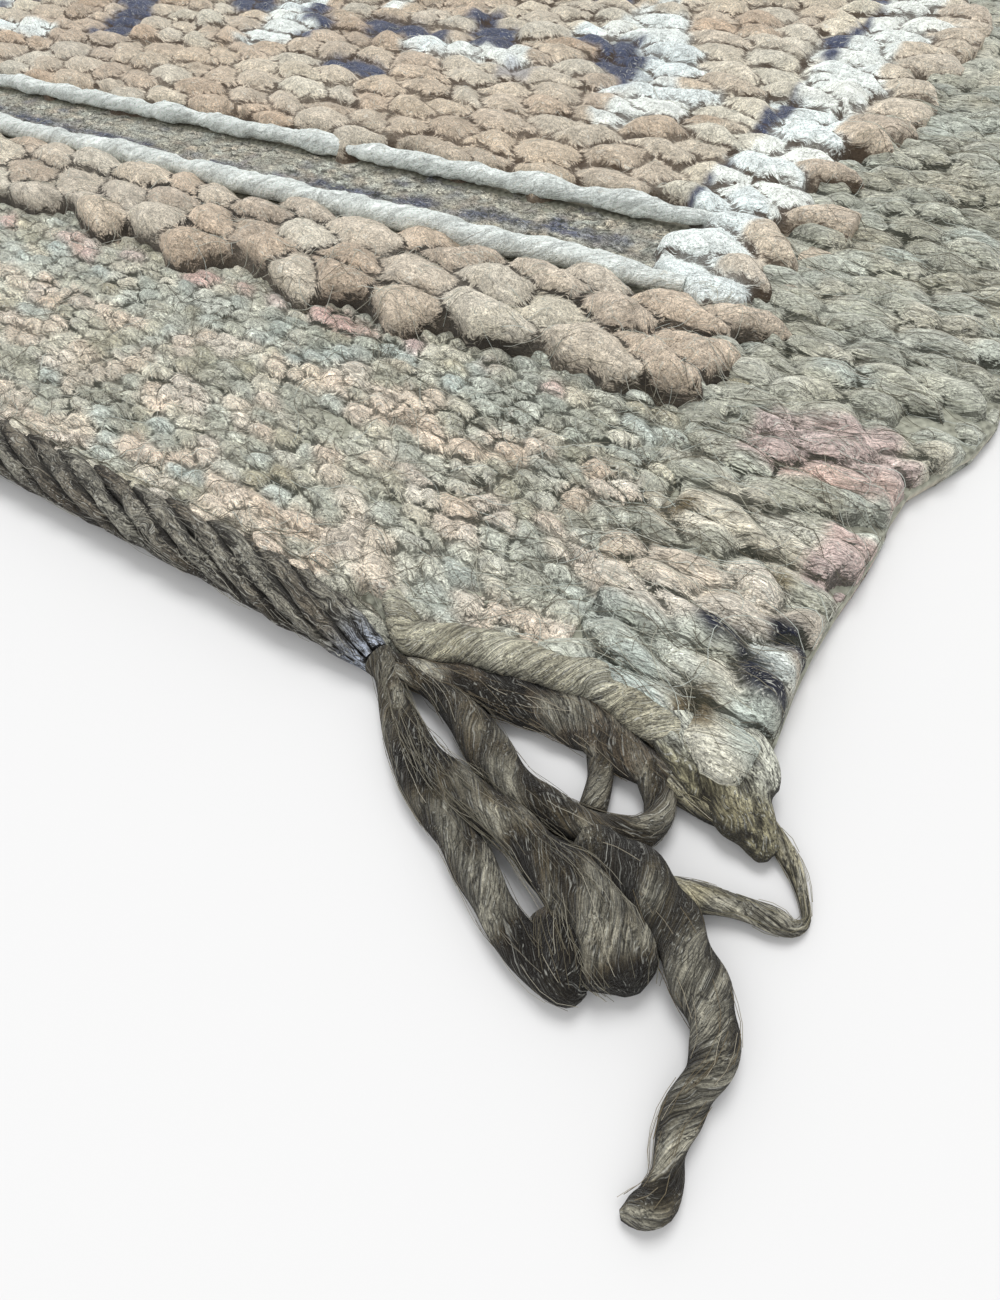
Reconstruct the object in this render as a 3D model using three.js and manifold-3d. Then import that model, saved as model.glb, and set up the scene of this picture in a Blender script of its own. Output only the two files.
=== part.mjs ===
// A small hand-knotted Moroccan wool rug, lying flat: one woven cloth with a flatwoven end,
// raised pile, two white wefts and corded selvedges, a twisted hem cord at each end, and the
// matted loose warp ends at one corner. Millimetres, +Z up, the cloth's underside on Z = 0.
// X runs along the wefts and Y along the warps; the loose warp ends are at +X, -Y.

import * as THREE from "three";
import { mergeVertices } from "three/addons/utils/BufferGeometryUtils.js";
import Module from "manifold-3d";

// Driving dimensions of the cloth.
const CLOTH_WIDTH = 620;
const CLOTH_LENGTH = 900;
const GROUND_HEIGHT = 7;
const CLOTH_EDGE_HEIGHT = 5.4;
const CLOTH_EDGE_MIDDLE = 3;
const EDGE_ROUNDING = 1.5;

// The hem is rolled between the front cord's end and the corner.
const HEM_ROLL_START = 72;
const HEM_ROLL_END = 8;
const HEM_ROLL_CROWN = 8.8;
const HEM_ROLL_MIDDLE = 4;
const HEM_ROLL_WIDTH = 9;
const HEM_ROLL_COLUMNS = [58, 67];

// Selvedges: four fat cords of wrapped warps down each side.
const SELVEDGE_CORDS = 4;
const SELVEDGE_CORD_PITCH = 11;
const SELVEDGE_WIDTH = SELVEDGE_CORDS * SELVEDGE_CORD_PITCH;
const SELVEDGE_VALLEY = 7.8;
const SELVEDGE_CROWN = 10;

// Bands from each end inwards: flat weave, two front rows of pile, white weft, flat band, white weft.
const FLAT_END = 82;
const FRONT_ROW = 22;
const SECOND_ROW = 19;
const WHITE_WEFT = 8;
const FLAT_BAND = 29;
const FRONT_ROW_CROWN = 17;
const SECOND_ROW_CROWN = 15.5;
const WHITE_WEFT_CROWN = 10.6;
const FRONT_PILE_START = FLAT_END;
const SECOND_ROW_START = FRONT_PILE_START + FRONT_ROW;
const LOWER_WEFT_START = SECOND_ROW_START + SECOND_ROW;
const BAND_START = LOWER_WEFT_START + WHITE_WEFT;
const UPPER_WEFT_START = BAND_START + FLAT_BAND;
const FIELD_START = UPPER_WEFT_START + WHITE_WEFT;

// Pile field: one rib for each row of knots.
const FIELD_ROWS = 38;
const FIELD_PITCH = (CLOTH_LENGTH - 2 * FIELD_START) / FIELD_ROWS;
const PILE_VALLEY = 10.5;
const PILE_CROWN = 14.6;
const PILE_LUMP = 1.3;
const PILE_SHOULDER = 3;
const SIDE_PILE_WIDTH = 30;
const BAND_RECESS = SELVEDGE_WIDTH + SIDE_PILE_WIDTH + 8;
const FIELD_COLUMNS = 11;

// Twisted hem cord along each end, three strands laid together.
const HEM_CORD_WIDTH = 13.6;
const HEM_CORD_HEIGHT = 11.8;
const HEM_CORD_GAP = 0.35;
const HEM_CORD_STRANDS = 3;
const HEM_CORD_LAY = 78;
const HEM_CORD_STEP = 9.6;
const HEM_CORD_GROOVE = 0.09;
const HEM_CORD_SIDES = 12;
const HEM_CORD_INSET = 5;
const HEM_CORD_TIP_LENGTH = 9;
const HEM_CORD_TIP_SHARE = 0.6;
const HEM_CORD_RUNS = 6;

// Where the front cord narrows towards the loose warp ends, from the cloth's corner.
const HEM_CORD_NARROWING = [
  { x: -112, y: -7.4, width: 13.6, height: 11.8 },
  { x: -96, y: -8.3, width: 13.6, height: 11.6 },
  { x: -85, y: -9, width: 12, height: 10.8 },
  { x: -77, y: -10, width: 9.4, height: 9.4 },
  { x: -70.6, y: -11.3, width: 6.4, height: 7.2 },
];

// Loose warp ends at the corner.
const STRAND_SIDES = 8;
const STRAND_STEP = 4.2;
const STRAND_CLEARANCE = 0.35;
const TAIL_SIDES = 12;
const TAIL_TWIST_LAY = 26;
const TAIL_GROOVE = 0.1;
const TAIL_STEP = 2.94;
const TAIL_GROOVES = 3;

const CORNER = new THREE.Vector2(CLOTH_WIDTH / 2, -CLOTH_LENGTH / 2);

// The edges wave a little: how far, and over what length, on the long sides and at the ends.
const SIDE_WAVE = 1.6;
const SIDE_WAVE_LENGTH = 41;
const SIDE_WAVE_RISE = 300;
const LEFT_WAVE_START = 2;
const END_WAVE = 0.25;
const END_WAVE_LENGTH = 37;
const BACK_WAVE_START = 1;

// How far in from an end its bulges fade out, and the grid lines across the flat weave there.
const END_FADE = 24;
const FLAT_WEAVE_LINES = [26, 42, 60];
const PILE_FOOT = 3;
const BAND_FOOT = 5;

// Outline of the two long sides, by the distance along from an end: how far each bulges outwards.
// The front right corner pinches in at the flat weave and swells beside the pile.
const CORNER_SIDE = [
  { along: 0, out: 0.4 },
  { along: 9, out: 0.5 },
  { along: 24, out: -0.6 },
  { along: 38, out: 0.1 },
  { along: 55, out: 2.0 },
  { along: 66, out: 2.5 },
  { along: 74, out: 1.7 },
  { along: 82, out: 3.6 },
  { along: 90, out: 8 },
  { along: 99, out: 12 },
  { along: 112, out: 14.5 },
  { along: 165, out: 14 },
  { along: 260, out: 9 },
  { along: 330, out: 8 },
];
const PLAIN_SIDE = [
  { along: 0, out: 0 },
  { along: 40, out: 0.6 },
  { along: 78, out: 2 },
  { along: 96, out: 7 },
  { along: 120, out: 9 },
  { along: 230, out: 8 },
  { along: 330, out: 8 },
];

// Outline of the front edge near the corner, by X from the corner: the rolled hem arches back
// between the hem cord's end and the corner's tip.
const CORNER_FRONT = [
  { across: -92, out: 0 },
  { across: -76, out: 1 },
  { across: -67, out: 7.4 },
  { across: -58, out: 4.8 },
  { across: -48, out: 3.2 },
  { across: -40, out: 1.2 },
  { across: -32, out: -1.8 },
  { across: -25, out: -1 },
  { across: -18, out: 2 },
  { across: -11, out: 5 },
  { across: -5, out: 5.4 },
  { across: 0, out: 3 },
];

// Routes of the loose warp ends. X and Y are from the cloth's corner; width is across the strand
// and height is up from the floor that it lies on.
const OUTER_STRAND = [
  { x: -70, y: -11.45, width: 6.2, height: 7 },
  { x: -67, y: -12.5, width: 5.8, height: 6.6 },
  { x: -61.9, y: -18, width: 5, height: 5.6 },
  { x: -56.5, y: -23.2, width: 5.2, height: 5.4 },
  { x: -50.3, y: -27.6, width: 5.8, height: 5.4 },
  { x: -43.8, y: -30.6, width: 6.5, height: 5.6 },
  { x: -36.2, y: -33.6, width: 7, height: 6 },
  { x: -30.2, y: -36.9, width: 7, height: 6.2 },
  { x: -24, y: -40.4, width: 6.6, height: 6 },
  { x: -17.7, y: -42.6, width: 6.4, height: 5.6 },
  { x: -12, y: -43.6, width: 6.4, height: 5.4 },
  { x: -8.4, y: -42, width: 5, height: 4.6 },
];
const MIDDLE_STRAND = [
  { x: -67.2, y: -12.6, width: 5, height: 6.6 },
  { x: -63.6, y: -15.5, width: 4.8, height: 6.4 },
  { x: -56.9, y: -20, width: 5.2, height: 6.6 },
  { x: -50.5, y: -23.4, width: 5.8, height: 6.8 },
  { x: -44.2, y: -25.6, width: 7.2, height: 7 },
  { x: -38.4, y: -26.4, width: 7.6, height: 7.4 },
  { x: -32.9, y: -27, width: 7.4, height: 7.8 },
  { x: -27.6, y: -28, width: 7.4, height: 8.4 },
  { x: -22.7, y: -29.6, width: 8.8, height: 9 },
  { x: -17, y: -31.2, width: 11, height: 9.4 },
  { x: -12, y: -33.2, width: 12, height: 9.4 },
  { x: -8, y: -35.8, width: 12, height: 9 },
  { x: -4.6, y: -38, width: 10.4, height: 7.8 },
  { x: -2.4, y: -40, width: 6.6, height: 5.6 },
];
const LOOP_STRAND = [
  { x: -68, y: -10.8, width: 4.4, height: 6.4 },
  { x: -62.6, y: -10.9, width: 4.4, height: 6.2 },
  { x: -55.5, y: -11.8, width: 4.6, height: 6.2 },
  { x: -48.2, y: -13.9, width: 7.4, height: 6.6 },
  { x: -42.7, y: -16.6, width: 8, height: 6.8 },
  { x: -37.8, y: -19.1, width: 7.8, height: 7 },
  { x: -33.2, y: -20.8, width: 7.2, height: 7 },
  { x: -28.4, y: -21.4, width: 6.8, height: 7 },
  { x: -23.4, y: -21.5, width: 6.4, height: 6.8 },
  { x: -17.9, y: -20.6, width: 6.2, height: 6.4 },
  { x: -13.2, y: -18.4, width: 5.6, height: 6 },
  { x: -11.1, y: -14.9, width: 5.2, height: 5.8 },
  { x: -11.8, y: -11.3, width: 5.2, height: 5.8 },
  { x: -14.4, y: -8.2, width: 5.6, height: 6 },
  { x: -17, y: -6, width: 5.6, height: 6 },
];
const HEM_STRIP = [
  { x: -66, y: -12, width: 5, height: 6.4 },
  { x: -60, y: -9.9, width: 7, height: 6 },
  { x: -52.5, y: -7.6, width: 8.4, height: 5.8 },
  { x: -46.4, y: -6.6, width: 8.6, height: 5.6 },
  { x: -39.8, y: -5, width: 9.6, height: 5.4 },
  { x: -33.3, y: -3.6, width: 11.4, height: 5.4 },
  { x: -27.6, y: -4, width: 10.8, height: 5.4 },
  { x: -22.4, y: -5.4, width: 9, height: 5.6 },
  { x: -17, y: -6.6, width: 7, height: 5.8 },
  { x: -12, y: -7.4, width: 4.6, height: 5.6 },
];
const BRIDGE_STRAND = [
  { x: -25.4, y: -6, width: 5, height: 4.6 },
  { x: -22.4, y: -11.8, width: 4.8, height: 4.6 },
  { x: -20.8, y: -18, width: 5, height: 4.6 },
];
const LEFT_LUMP = [
  { x: -18.4, y: -35.4, width: 6.4, height: 6.4 },
  { x: -14.6, y: -38.6, width: 8.4, height: 7.6 },
  { x: -11.2, y: -41.2, width: 9, height: 7 },
  { x: -9.2, y: -43.2, width: 6, height: 5 },
];
const TAIL_STRAND = [
  { x: -20, y: -23.6, width: 6.6, height: 7 },
  { x: -15, y: -24, width: 9.2, height: 8 },
  { x: -9.3, y: -24.8, width: 9.8, height: 8.4 },
  { x: -4.6, y: -26.6, width: 9.4, height: 8.2 },
  { x: -0.6, y: -29.6, width: 8.6, height: 8 },
  { x: 3.6, y: -33, width: 8.2, height: 7.6 },
  { x: 7, y: -36, width: 7.8, height: 7 },
  { x: 9.2, y: -39, width: 7, height: 6.4 },
  { x: 9.9, y: -42.6, width: 6, height: 5.8 },
  { x: 9.3, y: -46.6, width: 5.4, height: 5.2 },
  { x: 9, y: -50.5, width: 5, height: 4.8 },
  { x: 9.4, y: -53.8, width: 4.6, height: 4.4 },
  { x: 10.3, y: -56.6, width: 4.4, height: 4.2 },
  { x: 10.1, y: -59.5, width: 4.8, height: 4.2 },
  { x: 8.3, y: -61.8, width: 4.4, height: 3.8 },
  { x: 6.6, y: -63.2, width: 3, height: 2.8 },
];
const CORNER_TIP = [
  { x: -15, y: -7, width: 5, height: 5.6 },
  { x: -9, y: -7.6, width: 4.4, height: 5.4 },
  { x: -3, y: -7.8, width: 5, height: 5.2 },
  { x: 2.2, y: -6.2, width: 5.4, height: 4.6 },
  { x: 6.2, y: -7.2, width: 3.6, height: 3.6 },
  { x: 9.8, y: -9.6, width: 2.8, height: 3 },
  { x: 12.3, y: -12.5, width: 2.1, height: 2.4 },
  { x: 13.9, y: -15, width: 1.6, height: 1.9 },
  { x: 14.6, y: -17, width: 1.6, height: 1.9 },
  { x: 13.2, y: -18.9, width: 2.8, height: 2.8 },
  { x: 10.6, y: -19.4, width: 4, height: 3.6 },
  { x: 7, y: -19.9, width: 3.7, height: 3.8 },
  { x: 3.4, y: -20.8, width: 4, height: 4.4 },
  { x: -0.7, y: -22.4, width: 5, height: 5.4 },
  { x: -4.6, y: -24.4, width: 5.6, height: 6 },
];

// A repeatable number from -1 to 1 for a pair of whole numbers.
function unevenness(i, j) {
  const wave = Math.sin(i * 12.9898 + j * 78.233) * 43758.5453;
  return 2 * (wave - Math.floor(wave)) - 1;
}

// Straight-line reading of a table's value column at a place on its key column.
function readTable(rows, key, value, place) {
  if (place <= rows[0][key]) {
    return rows[0][value];
  }
  for (let i = 1; i < rows.length; i += 1) {
    if (place <= rows[i][key]) {
      const share = (place - rows[i - 1][key]) / (rows[i][key] - rows[i - 1][key]);
      return THREE.MathUtils.lerp(rows[i - 1][value], rows[i][value], share);
    }
  }
  return rows[rows.length - 1][value];
}

// How far a long side bulges outwards at a distance from the front end.
function sideBulge(isRight, along) {
  const fromEnd = Math.min(along, CLOTH_LENGTH - along);
  const isFrontRight = isRight && along < CLOTH_LENGTH / 2;
  const rows = isFrontRight ? CORNER_SIDE : PLAIN_SIDE;
  const phase = along / SIDE_WAVE_LENGTH + (isRight ? 0 : LEFT_WAVE_START);
  const wave = SIDE_WAVE * Math.sin(phase) * Math.min(1, fromEnd / SIDE_WAVE_RISE);
  return readTable(rows, "along", "out", fromEnd) + wave;
}

// How far an end bulges outwards at X from the corner.
function endBulge(isFront, across) {
  const wave = END_WAVE * Math.sin(across / END_WAVE_LENGTH + (isFront ? 0 : BACK_WAVE_START));
  return isFront ? readTable(CORNER_FRONT, "across", "out", across) : wave;
}

// A row of rounded ribs: the height at a distance across them.
function ribHeight(distance, pitch, valley, crown) {
  return THREE.MathUtils.lerp(valley, crown, Math.abs(Math.sin((Math.PI * distance) / pitch)));
}

// Height of the cloth's upper face, by the distances in from its side and from its end.
function clothHeight(inSide, inEnd, lump) {
  if (inSide < SELVEDGE_WIDTH) {
    return ribHeight(inSide, SELVEDGE_CORD_PITCH, SELVEDGE_VALLEY, SELVEDGE_CROWN);
  }
  if (inEnd <= FRONT_PILE_START) {
    return GROUND_HEIGHT;
  }
  if (inSide < SELVEDGE_WIDTH + PILE_SHOULDER / 2) {
    return SELVEDGE_VALLEY;
  }
  if (inEnd < SECOND_ROW_START) {
    return ribHeight(inEnd - FRONT_PILE_START, FRONT_ROW, PILE_VALLEY, FRONT_ROW_CROWN) + lump;
  }
  if (inEnd < LOWER_WEFT_START) {
    return ribHeight(inEnd - SECOND_ROW_START, SECOND_ROW, PILE_VALLEY, SECOND_ROW_CROWN) + lump;
  }
  const inBand = inSide > BAND_RECESS - 1;
  if (inBand && inEnd < BAND_START) {
    return ribHeight(inEnd - LOWER_WEFT_START, WHITE_WEFT, GROUND_HEIGHT, WHITE_WEFT_CROWN);
  }
  if (inBand && inEnd <= UPPER_WEFT_START) {
    return GROUND_HEIGHT;
  }
  if (inBand && inEnd < FIELD_START) {
    return ribHeight(inEnd - UPPER_WEFT_START, WHITE_WEFT, GROUND_HEIGHT, WHITE_WEFT_CROWN);
  }
  return ribHeight(inEnd - FIELD_START, FIELD_PITCH, PILE_VALLEY, PILE_CROWN) + lump;
}

// The rolled hem stands a little proud of the flat weave.
function isHemRoll(fromLeft, fromFront) {
  const inSide = CLOTH_WIDTH - fromLeft;
  return inSide < HEM_ROLL_START && inSide > HEM_ROLL_END && fromFront === HEM_ROLL_MIDDLE;
}

// Grid lines in from one edge; the other edge's are the same, counted from that side.
function sideLines() {
  const lines = [0];
  for (let half = 1; half < 2 * SELVEDGE_CORDS; half += 1) {
    lines.push((half * SELVEDGE_CORD_PITCH) / 2);
  }
  lines.push(SELVEDGE_WIDTH, SELVEDGE_WIDTH + PILE_SHOULDER);
  lines.push(BAND_RECESS - BAND_FOOT, BAND_RECESS);
  return lines;
}

function endLines() {
  return [
    0,
    HEM_ROLL_MIDDLE,
    HEM_ROLL_WIDTH,
    ...FLAT_WEAVE_LINES,
    FRONT_PILE_START - PILE_FOOT,
    FRONT_PILE_START + PILE_SHOULDER,
    FRONT_PILE_START + FRONT_ROW / 2,
    SECOND_ROW_START,
    SECOND_ROW_START + SECOND_ROW / 2,
    LOWER_WEFT_START,
    LOWER_WEFT_START + WHITE_WEFT / 2,
    BAND_START,
    UPPER_WEFT_START,
    UPPER_WEFT_START + WHITE_WEFT / 2,
  ];
}

function columnLines() {
  const side = sideLines();
  const fieldWidth = CLOTH_WIDTH - 2 * BAND_RECESS;
  const lines = [...side];
  for (let column = 1; column < FIELD_COLUMNS; column += 1) {
    lines.push(BAND_RECESS + (fieldWidth * column) / FIELD_COLUMNS);
  }
  const rightSide = [...side, ...HEM_ROLL_COLUMNS].sort((a, b) => a - b);
  return [...lines, ...rightSide.map((line) => CLOTH_WIDTH - line).reverse()];
}

function rowLines() {
  const end = endLines();
  const lines = [...end];
  for (let half = 0; half <= 2 * FIELD_ROWS; half += 1) {
    lines.push(FIELD_START + (half * FIELD_PITCH) / 2);
  }
  return [...lines, ...end.map((line) => CLOTH_LENGTH - line).reverse()];
}

// Place of a point of the cloth, given its distances from the left side and the front end of a
// plain rectangle: the outline's bulges fade out inwards.
function clothPlace(fromLeft, fromFront) {
  const inSide = Math.min(fromLeft, CLOTH_WIDTH - fromLeft);
  const inEnd = Math.min(fromFront, CLOTH_LENGTH - fromFront);
  const isRight = fromLeft > CLOTH_WIDTH / 2;
  const isFront = fromFront < CLOTH_LENGTH / 2;
  const sideShare = Math.max(0, 1 - inSide / SELVEDGE_WIDTH);
  const endShare = Math.max(0, 1 - inEnd / END_FADE);
  const across = fromLeft - CLOTH_WIDTH;
  const outward = sideShare * sideBulge(isRight, fromFront);
  const forward = endShare * endBulge(isFront, across);
  return new THREE.Vector2(
    CORNER.x + across + (isRight ? outward : -outward),
    CORNER.y + fromFront + (isFront ? -forward : forward),
  );
}

// The boundary of the grid, anticlockwise from the front left corner, as column and row numbers.
function boundaryLoop(columnCount, rowCount) {
  const loop = [];
  for (let i = 0; i < columnCount - 1; i += 1) {
    loop.push([i, 0]);
  }
  for (let j = 0; j < rowCount - 1; j += 1) {
    loop.push([columnCount - 1, j]);
  }
  for (let i = columnCount - 1; i > 0; i -= 1) {
    loop.push([i, rowCount - 1]);
  }
  for (let j = rowCount - 1; j > 0; j -= 1) {
    loop.push([0, j]);
  }
  return loop;
}

// Outline of the cloth moved outwards by a distance, in the same order as boundaryLoop.
function outlinePoints(places, outwards) {
  const count = places.length;
  return places.map((place, i) => {
    const before = places[(i + count - 1) % count];
    const after = places[(i + 1) % count];
    const direction = after.clone().sub(before).normalize();
    return new THREE.Vector2(place.x + direction.y * outwards, place.y - direction.x * outwards);
  });
}

function solidGeometry(vertices, triangles) {
  const geometry = new THREE.BufferGeometry();
  geometry.setAttribute("position", new THREE.Float32BufferAttribute(vertices, 3));
  geometry.setIndex(triangles);
  return geometry;
}

// The cloth: a height grid above, rounded edges, and a flat underside.
function clothGeometry(columns, rows, edgePlaces) {
  const vertices = [];
  const triangles = [];
  const number = (i, j) => j * columns.length + i;
  rows.forEach((fromFront, j) => {
    columns.forEach((fromLeft, i) => {
      const inSide = Math.min(fromLeft, CLOTH_WIDTH - fromLeft);
      const inEnd = Math.min(fromFront, CLOTH_LENGTH - fromFront);
      const isEdge = inSide === 0 || inEnd === 0;
      const lump = PILE_LUMP * unevenness(i, j);
      const place = clothPlace(fromLeft, fromFront);
      const inset = isEdge ? EDGE_ROUNDING : 0;
      const towardsX = Math.sign(fromLeft - CLOTH_WIDTH / 2) * (inSide === 0 ? inset : 0);
      const towardsY = Math.sign(fromFront - CLOTH_LENGTH / 2) * (inEnd === 0 ? inset : 0);
      const upper = isHemRoll(fromLeft, fromFront)
        ? HEM_ROLL_CROWN
        : clothHeight(inSide, inEnd, lump);
      vertices.push(place.x - towardsX, place.y - towardsY, isEdge ? CLOTH_EDGE_HEIGHT : upper);
    });
  });
  for (let j = 0; j < rows.length - 1; j += 1) {
    for (let i = 0; i < columns.length - 1; i += 1) {
      const a = number(i, j);
      const b = number(i + 1, j);
      const c = number(i + 1, j + 1);
      const d = number(i, j + 1);
      triangles.push(a, b, c, a, c, d);
    }
  }
  const loop = boundaryLoop(columns.length, rows.length).map(([i, j]) => number(i, j));
  const rings = [
    { outwards: 0, height: CLOTH_EDGE_MIDDLE },
    { outwards: -EDGE_ROUNDING, height: 0 },
  ];
  let upper = loop;
  rings.forEach((ring) => {
    const first = vertices.length / 3;
    outlinePoints(edgePlaces, ring.outwards).forEach((point) => {
      vertices.push(point.x, point.y, ring.height);
    });
    const lower = loop.map((_, k) => first + k);
    loop.forEach((_, k) => {
      const next = (k + 1) % loop.length;
      triangles.push(upper[k], lower[k], lower[next], upper[k], lower[next], upper[next]);
    });
    upper = lower;
  });
  const foot = outlinePoints(edgePlaces, -EDGE_ROUNDING);
  THREE.ShapeUtils.triangulateShape(foot, []).forEach(([a, b, c]) => {
    triangles.push(upper[a], upper[c], upper[b]);
  });
  return solidGeometry(vertices, triangles);
}

// Even stations along a route's smooth curve, each with its place, direction, width and height.
function stationsAlong(route, step) {
  const keyed = route.map((row, i) => ({ ...row, t: i / (route.length - 1) }));
  const places = route.map((row) => new THREE.Vector3(row.x, row.y, 0));
  const curve = new THREE.CatmullRomCurve3(places, false, "centripetal");
  const length = curve.getLength();
  const count = Math.max(2, Math.round(length / step));
  const stations = [];
  for (let k = 0; k <= count; k += 1) {
    const t = curve.getUtoTmapping(k / count);
    stations.push({
      place: curve.getPoint(t),
      direction: curve.getTangent(t),
      along: (length * k) / count,
      width: readTable(keyed, "t", "width", t),
      height: readTable(keyed, "t", "height", t),
    });
  }
  return stations;
}

// A strand that lies on the floor: rings of points joined along the route, closed at both ends.
// Its twist is a set of grooves that turn as they run; nothing reaches below the floor.
function strandGeometry(route, options) {
  const { sides, step, grooves, grooveDepth, lay } = options;
  const stations = stationsAlong(route, step);
  const vertices = [];
  const triangles = [];
  const flatDrop = Math.cos(Math.PI / sides);
  stations.forEach((station) => {
    const across = new THREE.Vector3(-station.direction.y, station.direction.x, 0);
    const middle = (station.height / 2) * flatDrop;
    for (let side = 0; side < sides; side += 1) {
      const angle = (2 * Math.PI * (side + 0.5)) / sides;
      const turn = lay ? (2 * Math.PI * station.along) / lay : 0;
      const swell = 1 + grooveDepth * (Math.cos(grooves * (angle - turn)) - 0.5);
      const out = (station.width / 2) * Math.cos(angle) * swell;
      const up = Math.max(0, middle + (station.height / 2) * Math.sin(angle) * swell);
      vertices.push(station.place.x + across.x * out, station.place.y + across.y * out, up);
    }
  });
  for (let k = 0; k < stations.length - 1; k += 1) {
    for (let side = 0; side < sides; side += 1) {
      const next = (side + 1) % sides;
      const a = k * sides + side;
      const b = k * sides + next;
      const c = (k + 1) * sides + next;
      const d = (k + 1) * sides + side;
      triangles.push(a, c, d, a, b, c);
    }
  }
  const lastRing = (stations.length - 1) * sides;
  for (let side = 1; side < sides - 1; side += 1) {
    triangles.push(0, side + 1, side);
    triangles.push(lastRing, lastRing + side, lastRing + side + 1);
  }
  return solidGeometry(vertices, triangles);
}

// The hem cord's route along an end. Its plain ends are drawn in to round tips, and the front
// cord's other end narrows and turns away to meet the loose warp ends.
function hemCordRoute(isFront) {
  const middle = HEM_CORD_WIDTH / 2 + HEM_CORD_GAP;
  const left = HEM_CORD_INSET - CLOTH_WIDTH;
  const right = isFront ? HEM_CORD_NARROWING[0].x : -HEM_CORD_INSET;
  const taper = isFront ? 0 : HEM_CORD_TIP_LENGTH;
  const plain = { y: -middle, width: HEM_CORD_WIDTH, height: HEM_CORD_HEIGHT };
  const tipShare = HEM_CORD_TIP_SHARE;
  const tip = { y: -middle, width: tipShare * plain.width, height: tipShare * plain.height };
  const route = [{ x: left, ...tip }];
  for (let run = 0; run <= HEM_CORD_RUNS; run += 1) {
    const start = left + HEM_CORD_TIP_LENGTH;
    const x = THREE.MathUtils.lerp(start, right - taper, run / HEM_CORD_RUNS);
    route.push({ x, ...plain });
  }
  return isFront ? [...route, ...HEM_CORD_NARROWING.slice(1)] : [...route, { x: right, ...tip }];
}

function yarnMaterial(colour) {
  return new THREE.MeshStandardMaterial({ color: colour, roughness: 0.95, metalness: 0 });
}

function namedMesh(name, geometry, colour) {
  geometry.computeVertexNormals();
  const mesh = new THREE.Mesh(geometry, yarnMaterial(colour));
  mesh.name = name;
  return mesh;
}

const wasm = await Module();
wasm.setup();

function toManifold(geometry) {
  const bare = geometry.clone();
  bare.deleteAttribute("normal");
  bare.deleteAttribute("uv");
  const merged = mergeVertices(bare, 1e-4);
  return new wasm.Manifold(
    new wasm.Mesh({
      numProp: 3,
      vertProperties: new Float32Array(merged.attributes.position.array),
      triVerts: new Uint32Array(merged.index.array),
    }),
  );
}

function fromManifold(solid) {
  const mesh = solid.getMesh();
  return solidGeometry(Array.from(mesh.vertProperties), Array.from(mesh.triVerts));
}

// The loose warp ends: every strand lies on the floor, and they are matted into one another and
// into the strip along the hem. The cloth's own outline is cut out of them with a narrow gap.
function looseWarpEnds(clothOutline) {
  const plain = { sides: STRAND_SIDES, step: STRAND_STEP, grooves: 0, grooveDepth: 0, lay: 0 };
  const twisted = {
    sides: TAIL_SIDES,
    step: TAIL_STEP,
    grooves: TAIL_GROOVES,
    grooveDepth: TAIL_GROOVE,
    lay: TAIL_TWIST_LAY,
  };
  const pieces = [
    strandGeometry(OUTER_STRAND, plain),
    strandGeometry(MIDDLE_STRAND, plain),
    strandGeometry(LOOP_STRAND, plain),
    strandGeometry(HEM_STRIP, plain),
    strandGeometry(BRIDGE_STRAND, plain),
    strandGeometry(LEFT_LUMP, plain),
    strandGeometry(TAIL_STRAND, twisted),
    strandGeometry(CORNER_TIP, plain),
  ];
  pieces.forEach((piece) => piece.translate(CORNER.x, CORNER.y, 0));
  const joined = pieces.map(toManifold).reduce((whole, piece) => whole.add(piece));
  const cutter = new THREE.ExtrudeGeometry(new THREE.Shape(clothOutline), {
    depth: 3 * FRONT_ROW_CROWN,
    bevelEnabled: false,
  });
  cutter.translate(0, 0, -FRONT_ROW_CROWN);
  return fromManifold(joined.subtract(toManifold(cutter)));
}

const columns = columnLines();
const rows = rowLines();
const edgePlaces = boundaryLoop(columns.length, rows.length).map(([i, j]) =>
  clothPlace(columns[i], rows[j]),
);

const cordTwist = {
  sides: HEM_CORD_SIDES,
  step: HEM_CORD_STEP,
  grooves: HEM_CORD_STRANDS,
  grooveDepth: HEM_CORD_GROOVE,
  lay: HEM_CORD_LAY,
};
const frontCord = strandGeometry(hemCordRoute(true), cordTwist);
frontCord.translate(CORNER.x, CORNER.y, 0);
const backCord = strandGeometry(hemCordRoute(false), cordTwist);
backCord.rotateZ(Math.PI);
backCord.translate(-CORNER.x, -CORNER.y, 0);

const rug = new THREE.Group();
rug.add(namedMesh("woven_cloth", clothGeometry(columns, rows, edgePlaces), 0xc4ae92));
rug.add(namedMesh("front_hem_cord", frontCord, 0x4b463e));
rug.add(namedMesh("back_hem_cord", backCord, 0x4b463e));
rug.add(
  namedMesh("loose_warp_ends", looseWarpEnds(outlinePoints(edgePlaces, STRAND_CLEARANCE)), 0x57514a),
);

export default rug;
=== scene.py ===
import math
import random
from collections import namedtuple

import bpy
from mathutils import Matrix, Vector, noise


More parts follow.
